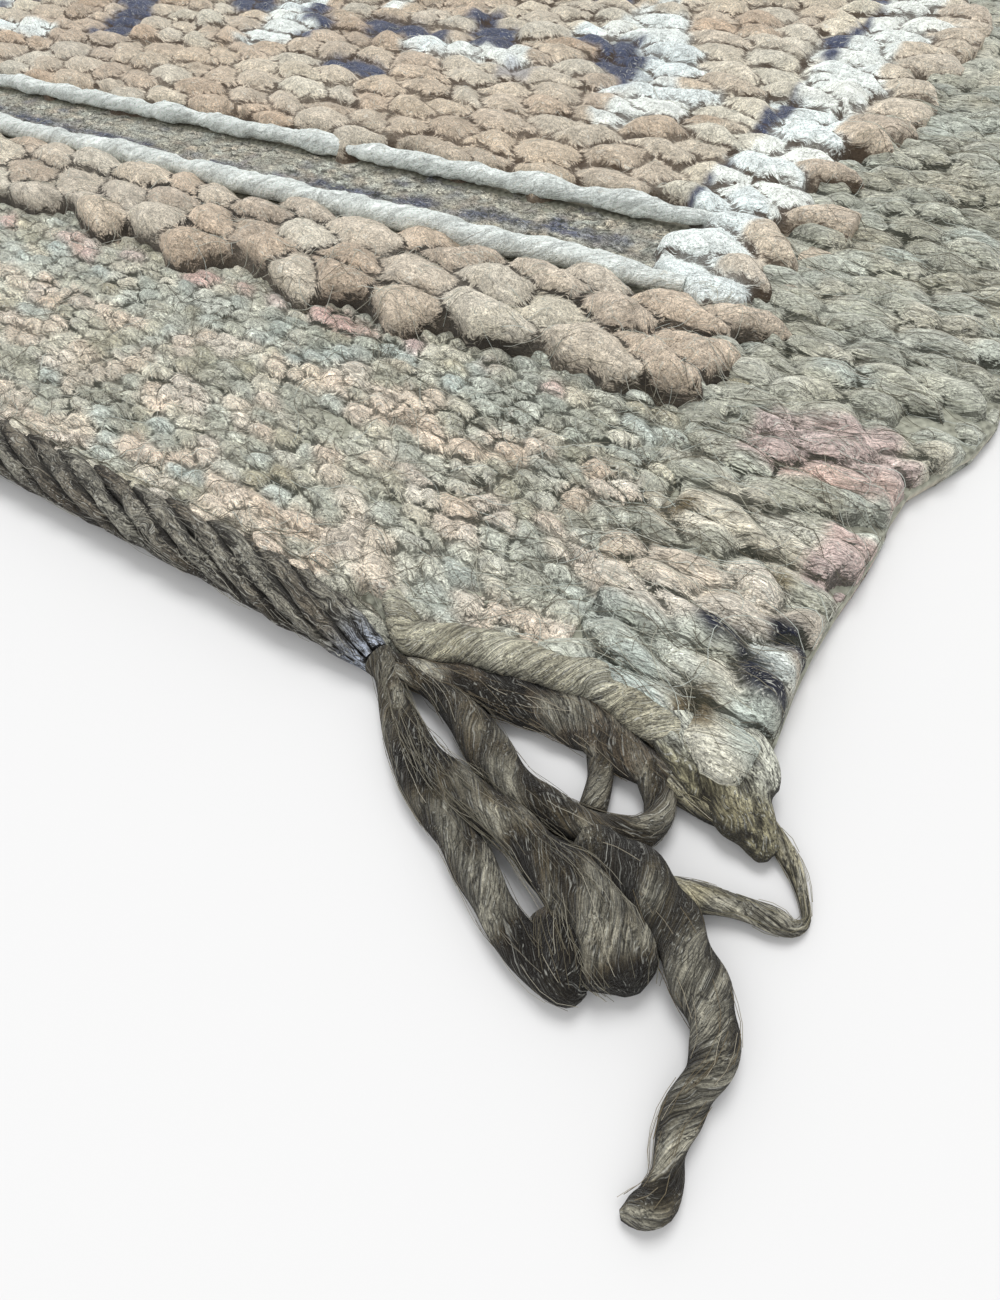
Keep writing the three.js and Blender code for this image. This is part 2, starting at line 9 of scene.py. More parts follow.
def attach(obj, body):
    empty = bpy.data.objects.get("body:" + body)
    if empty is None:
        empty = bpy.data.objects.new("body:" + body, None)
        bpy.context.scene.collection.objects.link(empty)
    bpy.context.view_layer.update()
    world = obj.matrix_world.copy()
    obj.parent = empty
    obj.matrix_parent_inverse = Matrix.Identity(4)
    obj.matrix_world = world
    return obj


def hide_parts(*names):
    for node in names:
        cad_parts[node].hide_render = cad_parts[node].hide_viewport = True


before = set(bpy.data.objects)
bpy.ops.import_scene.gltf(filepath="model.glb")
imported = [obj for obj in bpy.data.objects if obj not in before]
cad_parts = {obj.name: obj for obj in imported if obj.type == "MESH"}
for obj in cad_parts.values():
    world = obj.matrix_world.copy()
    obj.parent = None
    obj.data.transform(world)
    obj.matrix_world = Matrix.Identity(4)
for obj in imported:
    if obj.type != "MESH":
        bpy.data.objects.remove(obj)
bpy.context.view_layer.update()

# A hand-knotted wool rug seen at its front right corner: knotted pile, flatwoven ends, corded
# selvedges, twisted hem cords and loose warp ends. Lengths are in millimetres where nothing else
# is said; "across" runs in from the right side and "along" runs back from the front end.

MM = 0.001

CLOTH_WIDTH = 620.0
CLOTH_LENGTH = 900.0

# Selvedge: four fat cords down each side, wrapped by the wefts.
SELVEDGE_CORDS = 4
SELVEDGE_PITCH = 11.0
SELVEDGE_WIDTH = SELVEDGE_CORDS * SELVEDGE_PITCH
SELVEDGE_STITCH = 8.2

# Bands in from each end.
FLAT_END = 82.0
FRONT_ROW = 22.0
SECOND_ROW = 19.0
WHITE_WEFT = 8.0
FLAT_BAND = 29.0
SECOND_ROW_START = FLAT_END + FRONT_ROW
LOWER_WEFT_START = SECOND_ROW_START + SECOND_ROW
BAND_START = LOWER_WEFT_START + WHITE_WEFT
UPPER_WEFT_START = BAND_START + FLAT_BAND
FIELD_START = UPPER_WEFT_START + WHITE_WEFT
FIELD_ROWS = 38
FIELD_PITCH = (CLOTH_LENGTH - 2 * FIELD_START) / FIELD_ROWS
BAND_RECESS = SELVEDGE_WIDTH + 38.0

# The two front rows are packed as three rows of puffs, which reach a little over their edges.
PUFF_ROWS = 3
PUFF_OVERHANG = 4.0
PUFF_PITCH = (FRONT_ROW + SECOND_ROW + PUFF_OVERHANG) / PUFF_ROWS

# Flat weave stitches.
FLAT_STITCH_WIDTH = 6.9
FLAT_STITCH_PITCH = 4.8

# Upper faces of the ground cloth under the stitches, and its thin edge.
GROUND_EDGE = 3.2
GROUND_FLAT = 5.4
GROUND_PILE = 6.6
GROUND_BAND = 5.6

# How far a long side bulges outwards, as pairs of a distance from the end and a bulge.
CORNER_SIDE = [
    (0, 0.4), (9, 0.5), (24, -0.6), (38, 0.1), (55, 2.0), (66, 2.5), (74, 1.7), (82, 3.6),
    (90, 8.0), (99, 12.0), (112, 14.5), (165, 14.0), (260, 9.0), (330, 8.0),
]
PLAIN_SIDE = [(0, 0), (40, 0.6), (78, 2.0), (96, 7.0), (120, 9.0), (230, 8.0), (330, 8.0)]
SIDE_WAVE = 1.6
SIDE_WAVE_LENGTH = 41
SIDE_WAVE_START = 300

# How far the front end bulges outwards, by the distance from the right side, and the back end.
CORNER_FRONT = [
    (-92, 0), (-76, 1.0), (-67, 7.4), (-58, 4.8), (-48, 3.2), (-40, 1.2), (-32, -1.8), (-25, -1.0),
    (-18, 2.0), (-11, 5.0), (-5, 5.4), (0, 3.0),
]
END_BULGE_DEPTH = 24
BACK_WAVE = 0.25
BACK_WAVE_LENGTH = 37

SCREEN_OFFSET = 0.055
SCREEN_POWER = 2.4


def wool(red, green, blue):
    """A dyed wool's colour, given as a screen shows it, as the linear values of Blender."""
    shares = (level / 255 for level in (red, green, blue))
    return tuple(((share + SCREEN_OFFSET) / (1 + SCREEN_OFFSET)) ** SCREEN_POWER for share in shares)


TAN = wool(214, 199, 180)
DEEP_TAN = wool(193, 172, 149)
CREAM = wool(228, 222, 204)
IVORY = wool(248, 255, 251)
NAVY = wool(80, 87, 110)
PALE_NAVY = wool(138, 144, 164)
SAGE = wool(216, 216, 200)
COOL_SAGE = wool(206, 215, 206)
DARK_SAGE = wool(172, 173, 158)
OLIVE = wool(168, 162, 136)
FLAP_OLIVE = wool(138, 133, 108)
PEACH = wool(236, 222, 204)
PINK = wool(226, 196, 190)
BAND_GREY = wool(184, 182, 168)
INK = wool(30, 34, 50)
BROWN = wool(124, 112, 88)
CORD_BROWN = wool(92, 82, 68)
CORD_GREY = wool(134, 132, 121)
STRAND_BROWN = wool(72, 66, 53)
STRAND_GREY = wool(134, 131, 118)
# Near black, for darker wool and for painted shade on the loose ends and hem cords, where it also fills the
# cords' core.
STRAND_DARK_AND_SHADE = wool(30, 27, 22)
BIND_BLUE = wool(160, 168, 182)
# Dark brown for the ground under the pile, where it shows between the tufts as painted shade.
SHADE_BROWN = wool(88, 78, 64)


def read_table(rows, place):
    """Straight-line reading of a table of (place, value) pairs."""
    if place <= rows[0][0]:
        return rows[0][1]
    for (before, low), (after, high) in zip(rows, rows[1:]):
        if place <= after:
            share = (place - before) / (after - before)
            return low + share * (high - low)
    return rows[-1][1]


def side_bulge(is_right, along):
    in_end = min(along, CLOTH_LENGTH - along)
    rows = CORNER_SIDE if is_right and along < CLOTH_LENGTH / 2 else PLAIN_SIDE
    sway = SIDE_WAVE * math.sin(along / SIDE_WAVE_LENGTH + (0 if is_right else 2))
    return read_table(rows, in_end) + sway * min(1, in_end / SIDE_WAVE_START)


def end_bulge(is_front, x):
    return read_table(CORNER_FRONT, x) if is_front else BACK_WAVE * math.sin(x / BACK_WAVE_LENGTH + 1)


def rug_point(across, along, height):
    """A point of the rug in metres, from its place on the plain rectangle in millimetres."""
    is_right = across < CLOTH_WIDTH / 2
    is_front = along < CLOTH_LENGTH / 2
    in_side = min(across, CLOTH_WIDTH - across)
    in_end = min(along, CLOTH_LENGTH - along)
    outward = max(0, 1 - in_side / SELVEDGE_WIDTH) * side_bulge(is_right, along)
    forward = max(0, 1 - in_end / END_BULGE_DEPTH) * end_bulge(is_front, -across)
    x = CLOTH_WIDTH / 2 - across + (outward if is_right else -outward)
    y = along - CLOTH_LENGTH / 2 + (-forward if is_front else forward)
    return Vector((x * MM, y * MM, height * MM))


def corner_point(x, y, height):
    """A point in metres, from its place in millimetres from the front right corner."""
    return Vector((CLOTH_WIDTH / 2 + x, -CLOTH_LENGTH / 2 + y, height)) * MM


def from_front(along, is_back):
    """The place along the rug of a row that lies so far in from one of the ends."""
    return CLOTH_LENGTH - along if is_back else along


def wave(x, y, z):
    """Smooth noise of about -1 to 1, with waves about one unit long."""
    return noise.noise(Vector((x, y, z)))


def kept_within(low, high, value):
    return max(low, min(high, value))


# What each attribute of a mesh holds, where it is more than one number.
KINDS = {
    "tint": "FLOAT_COLOR", "shape": "INT",
    **dict.fromkeys(["turn", "size", "unit", "fibre", "cell", "round", "outward"], "FLOAT_VECTOR"),
}


def kind_of(name):
    return KINDS.get(name, "FLOAT")


class Value:
    """One socket of a node tree, so that its maths reads as sums and products."""

    def __init__(self, bench, socket):
        self.bench = bench
        self.socket = socket

    def __add__(self, other):
        return self.bench.maths("ADD", self, other)

    def __radd__(self, other):
        return self.bench.maths("ADD", other, self)

    def __sub__(self, other):
        return self.bench.maths("SUBTRACT", self, other)

    def __rsub__(self, other):
        return self.bench.maths("SUBTRACT", other, self)

    def __mul__(self, other):
        return self.bench.maths("MULTIPLY", self, other)

    def __rmul__(self, other):
        return self.bench.maths("MULTIPLY", other, self)

    def __truediv__(self, other):
        return self.bench.maths("DIVIDE", self, other)

    def __rtruediv__(self, other):
        return self.bench.maths("DIVIDE", other, self)

    def __pow__(self, other):
        return self.bench.maths("POWER", self, other)

    def beside(self, output):
        """Another output of the same node."""
        return Value(self.bench, self.socket.node.outputs[output])


class Bench:
    """Builds one node tree, a node at a time."""

    def __init__(self, tree):
        self.tree = tree

    def add(self, kind, settings=None, inputs=None, output=0):
        node = self.tree.nodes.new(kind)
        for name, value in (settings or {}).items():
            setattr(node, name, value)
        for name, value in (inputs or {}).items():
            self.fill(node.inputs[name], value)
        return Value(self, node.outputs[output])

    def fill(self, socket, value):
        if isinstance(value, Value):
            self.tree.links.new(value.socket, socket)
        else:
            socket.default_value = value

    def maths(self, operation, *values):
        return self.add("ShaderNodeMath", {"operation": operation}, dict(enumerate(values)))

    def larger(self, first, second):
        return self.maths("MAXIMUM", first, second)

    def noise(self, vector, scale, detail=2.0, roughness=0.55):
        sockets = {"Vector": vector, "Scale": scale, "Detail": detail, "Roughness": roughness}
        return self.add("ShaderNodeTexNoise", {}, sockets)

    def between(self, value, low, high, to_low=0.0, to_high=1.0):
        """The value's place between low and high, kept within to_low and to_high."""
        sockets = {0: value, 1: low, 2: high, 3: to_low, 4: to_high}
        return self.add("ShaderNodeMapRange", {"clamp": True}, sockets)

    def blend(self, share, colour_a, colour_b, mode="MIX"):
        settings = {"data_type": "RGBA", "blend_type": mode}
        sockets = {0: share, 6: opaque(colour_a), 7: opaque(colour_b)}
        return self.add("ShaderNodeMix", settings, sockets, 2)

    def lit(self, colour, light):
        return self.blend(1.0, colour, self.vector(light, light, light), "MULTIPLY")

    def parts(self, vector):
        node = self.tree.nodes.new("ShaderNodeSeparateXYZ")
        self.fill(node.inputs[0], vector)
        return [Value(self, socket) for socket in node.outputs]

    def vector(self, x, y, z):
        return self.add("ShaderNodeCombineXYZ", {}, {0: x, 1: y, 2: z})

    def vectors(self, operation, first, second, output=0):
        settings = {"operation": operation}
        return self.add("ShaderNodeVectorMath", settings, {0: first, 1: second}, output)

    def dot(self, first, second):
        return self.vectors("DOT_PRODUCT", first, second, 1)

    def rotated(self, vector, angle):
        """A vector turned about Z."""
        sockets = {"Vector": vector, "Angle": angle}
        return self.add("ShaderNodeVectorRotate", {"rotation_type": "Z_AXIS"}, sockets)

    def painted(self, name):
        """A mesh's own attribute, in a material."""
        output = {"FLOAT_COLOR": 0, "FLOAT_VECTOR": 1, "FLOAT": 2}[kind_of(name)]
        return self.add("ShaderNodeAttribute", {"attribute_name": name}, {}, output)

    def object_place(self):
        return self.add("ShaderNodeTexCoord", {}, {}, 3)

    def here(self):
        return self.add("GeometryNodeInputPosition")

    def normal(self):
        return self.add("GeometryNodeInputNormal")

    def named(self, name):
        """A mesh's own attribute, in a tree that makes a mesh."""
        settings = {"data_type": kind_of(name)}
        return self.add("GeometryNodeInputNamedAttribute", settings, {"Name": name})

    def keep(self, geometry, name, value):
        """Stores a value at every point under a name."""
        settings = {"data_type": kind_of(name), "domain": "POINT"}
        sockets = {"Geometry": geometry, "Name": name, "Value": value}
        return self.add("GeometryNodeStoreNamedAttribute", settings, sockets)

    def blurred(self, value, kind, steps):
        settings = {"data_type": kind}
        return self.add("GeometryNodeBlurAttribute", settings, {"Value": value, "Iterations": steps})

    def blurred_name(self, name, steps):
        return self.blurred(self.named(name), kind_of(name), steps)

    def moved(self, geometry, place):
        sockets = {"Geometry": geometry, "Position": place}
        return self.add("GeometryNodeSetPosition", {}, sockets)


def opaque(colour):
    if isinstance(colour, Value) or len(colour) == 4:
        return colour
    return (*colour, 1.0)


# How wool is parted into stitches by creases. Wide, deep, start, bend, bend_size, dome, tilt and
# margin are in millimetres. Lean is the shift of a row against the one before it, and loose how
# far a stitch strays; own is 1 where points keep the colour right under them. Line and ragged are
# shares of a stitch; the next two are the least share and the most dark of the painted shade drawn
# along a crease. Only rows from first to last are there, and wing more rows along the sides.
Cells = namedtuple(
    "Cells",
    "wide deep start lean loose bend bend_size dome tilt own line ragged worn ink first last margin wing",
    defaults=[-9, 999, -99, 0],
)
FLAT_CELLS = Cells(7.6, 5.2, 0.0, 0.5, 0.8, 1.5, 9, 2.4, 1.1, 0.0, 0.13, 0.1, 0.3, 2.8)
PILE_CELLS = Cells(
    21.0, FIELD_PITCH, FIELD_START, 0.45, 0.88, 4.2, 16, 4.3, 2.4, 0.0,
    0.068, 0.07, 0.35, 3.0, 0, FIELD_ROWS, 44, 3,
)
FRONT_CELLS = Cells(
    22.0, PUFF_PITCH, FLAT_END - 1, 0.5, 0.85, 4.0, 20, 4.8, 2.2, 0.0,
    0.045, 0.06, 0.25, 2.4, 0, PUFF_ROWS, 40,
)
BACK_CELLS = FRONT_CELLS._replace(start=CLOTH_LENGTH - FLAT_END + 1 - PUFF_ROWS * PUFF_PITCH)
BAND_CELLS = Cells(4.4, 3.0, 0.0, 0.5, 0.75, 0.8, 5, 1.2, 0.5, 0.7, 0.16, 0.16, 0.2, 1.8)
EDGE_CELLS = Cells(15.0, 8.0, 0.0, 0.45, 0.88, 3.0, 15, 3.5, 2.3, 1.0, 0.066, 0.065, 0.3, 2.7)

# Noises that should differ are read this many metres apart.
APART = 5.0

# From the side of the rug to the inner edge of the wings.
WING_WIDTH = 83.0
ROW_EDGE = 0.02


def crease_distance(bench, cell, cells):
    """How far a place is from the crease round its stitch, as a share of the stitch."""
    settings = {"voronoi_dimensions": "2D", "feature": "DISTANCE_TO_EDGE"}
    sockets = {"Vector": cell, "Scale": 1.0, "Randomness": cells.loose}
    return bench.add("ShaderNodeTexVoronoi", settings, sockets)


def cell_middle(bench, cell, cells):
    """The middle of the stitch that a place belongs to: x and y in metres, and its row."""
    settings = {"voronoi_dimensions": "2D", "feature": "F1"}
    sockets = {"Vector": cell, "Scale": 1.0, "Randomness": cells.loose}
    column, row, _ = bench.parts(bench.add("ShaderNodeTexVoronoi", settings, sockets, 2))
    y = (row - (cells.loose / 2 - 0.5)) * (cells.deep * MM) - (CLOTH_LENGTH / 2 - cells.start) * MM
    x = (column - row * cells.lean) * (cells.wide * MM)
    return x, y, row


def cell_place(bench, cells):
    """A point's place in the grid of stitches, bent a little so that no row is straight."""
    x, y, _ = bench.parts(bench.here())
    bends = []
    for shift in (0.0, APART):
        where = bench.vector(x + shift, y, 0.0)
        bends.append((bench.noise(where, 1000 / cells.bend_size, 1.0) - 0.5) * (2 * cells.bend * MM))
    across = (x + bends[0]) / (cells.wide * MM)
    along = (y + bends[1] + (CLOTH_LENGTH / 2 - cells.start) * MM) / (cells.deep * MM)
    row = along + (cells.loose / 2 - 0.5)
    return bench.vector(across + row * cells.lean, row, 0.0)


def cell_present(bench, cells, x, row):
    """1 where the stitch with its middle at x and row belongs to the piece, and 0 elsewhere.
    Wing rows before the first and after the last lie only along the sides."""
    side = CLOTH_WIDTH / 2 * MM - bench.maths("ABSOLUTE", x)

    def rows(first, last):
        return bench.between(row, first - ROW_EDGE, first) * bench.between(row, last, last - ROW_EDGE)

    wings = rows(cells.first - cells.wing, cells.last + cells.wing)
    wings = wings * bench.between(side, WING_WIDTH * MM, (WING_WIDTH - 1) * MM)
    inside = bench.between(side, (cells.margin - 1) * MM, cells.margin * MM)
    return inside * bench.larger(rows(cells.first, cells.last), wings)


def new_finish(name, roughness, gloss):
    """A new material, the bench for its nodes, and its shader."""
    material = bpy.data.materials.new(name)
    material.use_nodes = True
    shader = material.node_tree.nodes["Principled BSDF"]
    shader.inputs["Roughness"].default_value = roughness
    shader.inputs["Specular IOR Level"].default_value = gloss
    return material, Bench(material.node_tree), shader


# A wool's look. Line and swirl, the thickness and the wandering of its fibres, and bump, its
# relief, are in millimetres; a fibre is stretch times as long as thick. Streak, lock, grain and
# mottle are how strongly fibres, locks, grain and clouds show, and pale and dark how plainly
# stray hairs do. Gap is the most dark of the painted shade in the creases and on sides turned from
# the light. It sets in where rim falls from gap_high to gap_low, with fray as its raggedness and
# patch as its least share; shade is the colour of that painted shade.
Finish = namedtuple(
    "Finish",
    "line stretch swirl streak lock grain pale dark mottle bump fray patch gap_low gap_high gap shade cells",
    defaults=[None],
)

# Waves a metre of the noises in the wool.
SWIRLS = 170
BROAD_SWIRLS = 60
GRAINS = 3300
BROAD_GRAINS = 1250
CLOUDS = 150
PATCHES = 75
# Waves a metre of the noise that fades the painted crease shade in and out.
SHADE_FADING = 190

# The middle part of a noise, spread from 0 to 1.
NOISE_LOW = 0.3
NOISE_HIGH = 0.7

PALE_FUZZ = wool(240, 240, 230)
DARK_FUZZ = wool(64, 62, 54)


def wool_finish(name, look):
    """Spun wool. Its fibre lines follow the fibre attribute, in metres along and across the
    yarn; tint is its colour, and rim is 1 on a stitch's crown and 0 down beside it. Where rim is
    low the colour is darkened towards the look's shade colour: painted shade."""
    material, bench, shader = new_finish(name, 0.92, 0.16)
    tint, fibre, seed, rim = (bench.painted(label) for label in ("tint", "fibre", "seed", "rim"))
    place = bench.object_place()
    line = look.line * MM

    along, over, beside = bench.parts(fibre)
    swirl = (bench.noise(place, SWIRLS, 1.5) - 0.5) * (look.swirl * MM)
    swirl = swirl + (bench.noise(place, BROAD_SWIRLS, 1.0) - 0.5) * (look.swirl * MM * 1.5)

    def fibre_noise(stretch, size, wander, shift, detail):
        lines = bench.vector(
            along / stretch + seed * shift,
            over + swirl * wander + seed * (0.3 - shift),
            beside + swirl * wander - seed * shift,
        )
        return bench.noise(lines, 1 / size, detail, 0.6)

    def spread(value):
        return bench.between(value, NOISE_LOW, NOISE_HIGH)

    streak = spread(fibre_noise(look.stretch, line, 1.0, 0.37, 2.0))
    lock = spread(fibre_noise(0.5 * look.stretch, 4.5 * line, 1.0, 0.21, 1.0))
    pale_hair = bench.between(fibre_noise(26, 0.9 * line, 1.6, 0.13, 0.5), 0.6, 0.72)
    dark_hair = bench.between(fibre_noise(24, 0.8 * line, -1.3, 0.43, 0.5), 0.4, 0.29)
    grain = (bench.noise(place, GRAINS, 1.0) - 0.5) * 1.5
    grain = grain + (bench.noise(place, BROAD_GRAINS, 2.0) - 0.5) * 1.3
    cloud = spread(bench.noise(place, CLOUDS, 2.0))

    light = (1 - look.streak / 2) + look.streak * streak
    light = light * ((1 - look.lock / 2) + look.lock * lock)
    light = light * (1 + look.grain * grain)
    light = light * ((1 - look.mottle / 2) + look.mottle * cloud)
    colour = bench.lit(tint, light)
    colour = bench.blend(pale_hair * look.pale, colour, PALE_FUZZ)
    colour = bench.blend(dark_hair * look.dark, colour, DARK_FUZZ)
    patchy = bench.between(bench.noise(place, PATCHES, 1.5), 0.36, 0.6, look.patch, 1.0)
    frayed = rim + (streak - 0.5) * look.fray + (lock - 0.5) * (look.fray / 2)
    # Painted shade: dark crease lines along the stitch cells, fading in and out and weaker on steep wool,
    # lower the rim, and the colour darkens towards the shade colour where the rim is low.
    if look.cells:
        edge = crease_distance(bench, bench.painted("cell"), look.cells)
        edge = edge + (streak + lock - 1.0) * look.cells.ragged
        worn = bench.between(bench.noise(place, SHADE_FADING, 1.5), 0.3, 0.62, look.cells.worn, 1.0)
        worn = worn * bench.between(bench.painted("level"), 0.15, 0.5, 0.25, 1.0)
        frayed = frayed - bench.between(edge, look.cells.line, 0.0) * worn * look.cells.ink
    deep = bench.between(frayed, look.gap_high, look.gap_low) ** 1.4 * patchy
    bench.fill(shader.inputs["Base Color"], bench.blend(deep * look.gap, colour, look.shade))

    rise = streak * 0.6 + lock * 0.9 + grain * 0.5 + pale_hair * 0.4 - dark_hair * 0.4
    sockets = {"Strength": 0.9, "Distance": look.bump * MM, "Height": rise}
    bench.fill(shader.inputs["Normal"], bench.add("ShaderNodeBump", {}, sockets))
    shader.inputs["Sheen Weight"].default_value = 0.1
    shader.inputs["Sheen Roughness"].default_value = 0.5
    return material


# Colours of the painted shade in the creases and on shaded sides.
WARM_SHADE = wool(74, 60, 47)
PUFF_SHADE = wool(40, 35, 28)
SAGE_SHADE = wool(58, 60, 50)
NIGHT_SHADE = wool(36, 33, 28)

PILE_LOOK = Finish(
    0.4, 12, 6, 0.4, 0.35, 1.1, 0.5, 0.3, 0.25, 0.5, 0.9, 0.7, -2.6, -0.4, 0.95, WARM_SHADE, PILE_CELLS
)
PUFF_LOOK = Finish(
    0.4, 9, 8, 0.5, 0.3, 1.1, 0.5, 0.3, 0.25, 0.5, 0.7, 0.85, -2.4, -0.3, 0.97, PUFF_SHADE, FRONT_CELLS
)
FLAT_LOOK = Finish(
    0.36, 13, 8, 0.9, 0.45, 1.0, 0.7, 0.65, 0.3, 0.5, 0.9, 0.5, -2.6, -0.3, 0.94, SAGE_SHADE, FLAT_CELLS
)
SELVEDGE_LOOK = Finish(
    0.34, 30, 3, 1.0, 0.5, 0.6, 0.6, 0.55, 0.3, 0.6, 0.9, 0.6, -2.7, -0.5, 0.95, SAGE_SHADE, EDGE_CELLS
)
WEFT_LOOK = Finish(
    0.4, 14, 4, 0.5, 0.5, 0.7, 0.7, 0.04, 0.1, 0.8, 0.6, 0.5, -0.9, -0.2, 0.15, SAGE_SHADE
)
BAND_LOOK = Finish(
    0.4, 5, 8, 0.8, 0.5, 1.8, 0.7, 0.7, 0.45, 0.6, 1.0, 0.4, -1.6, -0.2, 0.8, SAGE_SHADE, BAND_CELLS
)
CORD_LOOK = Finish(0.4, 18, 4, 1.6, 0.9, 1.2, 0.6, 0.9, 0.6, 0.9, 0.9, 0.9, 0.3, 0.97, 0.98, NIGHT_SHADE)
STRAND_LOOK = Finish(
    0.4, 26, 3, 1.5, 1.0, 0.8, 0.35, 0.9, 0.8, 0.8, 1.0, 0.85, -0.4, 1.0, 0.97, NIGHT_SHADE
)
ROLL_LOOK = Finish(
    0.36, 14, 3, 1.3, 0.9, 0.8, 0.7, 0.8, 0.6, 0.8, 0.8, 0.8, -0.7, 0.85, 0.95, NIGHT_SHADE
)

PILE_WOOL = wool_finish("pile_wool", PILE_LOOK)
PUFF_WOOL = wool_finish("front_row_wool", PUFF_LOOK)
FLAT_WOOL = wool_finish("flatweave_wool", FLAT_LOOK)
SELVEDGE_WOOL = wool_finish("selvedge_wool", SELVEDGE_LOOK)
WEFT_WOOL = wool_finish("white_weft_wool", WEFT_LOOK)
BAND_WOOL = wool_finish("flat_band_wool", BAND_LOOK)
CORD_WOOL = wool_finish("hem_cord_wool", CORD_LOOK)
STRAND_WOOL = wool_finish("loose_warp_wool", STRAND_LOOK)
ROLL_WOOL = wool_finish("hem_roll_wool", ROLL_LOOK)

# Ribs and wefts of the ground cloth, in radians of their sine a metre, and the waves of its fuzz.
GROUND_RIBS = 2200
GROUND_WEFTS = 1500
GROUND_FUZZ = 1400


def ground_finish(name):
    """The ground cloth, which shows only as dark lines between the stitches and underneath; under the pile
    its dark brown is painted shade.
    """
    material, bench, shader = new_finish(name, 0.95, 0.1)
    tint = bench.painted("tint")
    place = bench.object_place()
    x, y, _ = bench.parts(place)
    ribs = bench.maths("SINE", x * GROUND_RIBS)
    rows = bench.maths("SINE", y * GROUND_WEFTS)
    knit = bench.between(ribs * rows, -1.0, 1.0)
    fuzz = bench.noise(place, GROUND_FUZZ, 3.0)
    light = 0.6 + 0.3 * knit + 0.3 * fuzz
    bench.fill(shader.inputs["Base Color"], bench.lit(tint, light))
    bump = bench.add("ShaderNodeBump", {}, {"Distance": 0.5 * MM, "Height": knit + fuzz * 0.5})
    bench.fill(shader.inputs["Normal"], bump)
    return material


def hair_finish(name):
    material, bench, shader = new_finish(name, 0.7, 0.25)
    tint = bench.painted("tint")
    light = 0.8 + 0.4 * bench.noise(bench.painted("fibre"), 900, 1.0)
    bench.fill(shader.inputs["Base Color"], bench.lit(tint, light))
    return material


GROUND_WOOL = ground_finish("ground_wool")
STRAY_HAIR = hair_finish("stray_hair")


def node_tree(name, sockets):
    """An empty Geometry Nodes tree with named inputs: its bench, and a Value for each input."""
    tree = bpy.data.node_groups.new(name, "GeometryNodeTree")
    for label, kind in sockets.items():
        tree.interface.new_socket(name=label, in_out="INPUT", socket_type="NodeSocket" + kind)
    tree.interface.new_socket(name="Piece", in_out="OUTPUT", socket_type="NodeSocketGeometry")
    bench = Bench(tree)
    entry = tree.nodes.new("NodeGroupInput")
    return bench, {label: Value(bench, entry.outputs[label]) for label in sockets}


def end_tree(bench, geometry, given):
    """Smooth shading and the wool, which close every tree."""
    smooth = bench.add("GeometryNodeSetShadeSmooth", {}, {"Geometry": geometry})
    done = bench.add("GeometryNodeSetMaterial", {}, {"Geometry": smooth, "Material": given["Wool"]})
    bench.fill(bench.tree.nodes.new("NodeGroupOutput").inputs["Piece"], done)
    return bench.tree


LUMP_SOCKETS = {
    "Lump": "Float", "Lump size": "Float", "Ripple": "Float", "Ripple size": "Float", "Wool": "Material",
}

# The least height of a dressed surface over the floor.
FLOOR_GAP = 0.1


def lumpy(bench, geometry, given):
    """Pushes a surface in and out, in large soft lumps and in small ripples."""
    where = bench.here()
    large = (bench.noise(where, 1 / given["Lump size"], 1.0) - 0.5) * given["Lump"] * 2
    small = (bench.noise(where, 1 / given["Ripple size"], 1.0) - 0.5) * given["Ripple"] * 2
    sockets = {0: bench.normal(), 3: large + small}
    offset = bench.add("ShaderNodeVectorMath", {"operation": "SCALE"}, sockets)
    pushed = bench.add("GeometryNodeSetPosition", {}, {"Geometry": geometry, "Offset": offset})
    x, y, z = bench.parts(bench.here())
    return bench.moved(pushed, bench.vector(x, y, bench.larger(z, FLOOR_GAP * MM)))


def lay_stitches(bench, places, shapes):
    """One shape is laid at every place, turned and sized by the place's own attributes."""
    sockets = {"Collection": shapes, "Separate Children": True, "Reset Children": True}
    family = bench.add("GeometryNodeCollectionInfo", {}, sockets)
    sockets = {
        "Points": places,
        "Instance": family,
        "Pick Instance": True,
        "Instance Index": bench.named("shape"),
        "Rotation": bench.named("turn"),
        "Scale": bench.named("size"),
    }
    laid = bench.add("GeometryNodeInstanceOnPoints", {}, sockets)
    joined = bench.add("GeometryNodeRealizeInstances", {}, {"Geometry": laid})
    fibre = bench.vectors("MULTIPLY", bench.named("unit"), bench.named("size"))
    return bench.keep(joined, "fibre", fibre)


# Sides that face this way, towards the near end and a little to the right, get painted shade as if lit from
# behind; so do undersides.
SHADED_FACING = (0.3, -0.95, 0.0)
DOWN = (0.0, 0.0, -1.0)


def shaded_rim(bench, rim, front, underside):
    """The rim, lowered where the wool faces the near end of the rug or the floor: painted shade on the sides
    turned from the light and on undersides.
    """
    normal = bench.normal()
    turned_away = bench.larger(bench.dot(normal, SHADED_FACING), 0.0)
    below = bench.larger(bench.dot(normal, DOWN), 0.0)
    return rim - turned_away * front - below * underside


def combed(bench, geometry, lay):
    """Stores fibre for wool whose fibres run level, turned by the angle lay from X."""
    return bench.keep(geometry, "fibre", bench.rotated(bench.here(), lay))


# Rays that look for the wool start this high and reach this far, in metres.
RAY_START = 0.1
RAY_LENGTH = 0.2
HIT_PLACE = 1
HIT_ATTRIBUTE = 4


def ray_down(bench, bed, place, name=None):
    """Whether a ray straight down from a place hits the bed; beside it, where it does so, and
    the bed's named attribute there."""
    settings = {}
    sockets = {
        "Target Geometry": bed, "Source Position": place, "Ray Direction": DOWN, "Ray Length": RAY_LENGTH,
    }
    if name:
        settings["data_type"] = kind_of(name)
        sockets["Attribute"] = bench.named(name)
    return bench.add("GeometryNodeRaycast", settings, sockets)


ABSENT_HEIGHT = 3.0
CEILING_SOFTNESS = 1.0


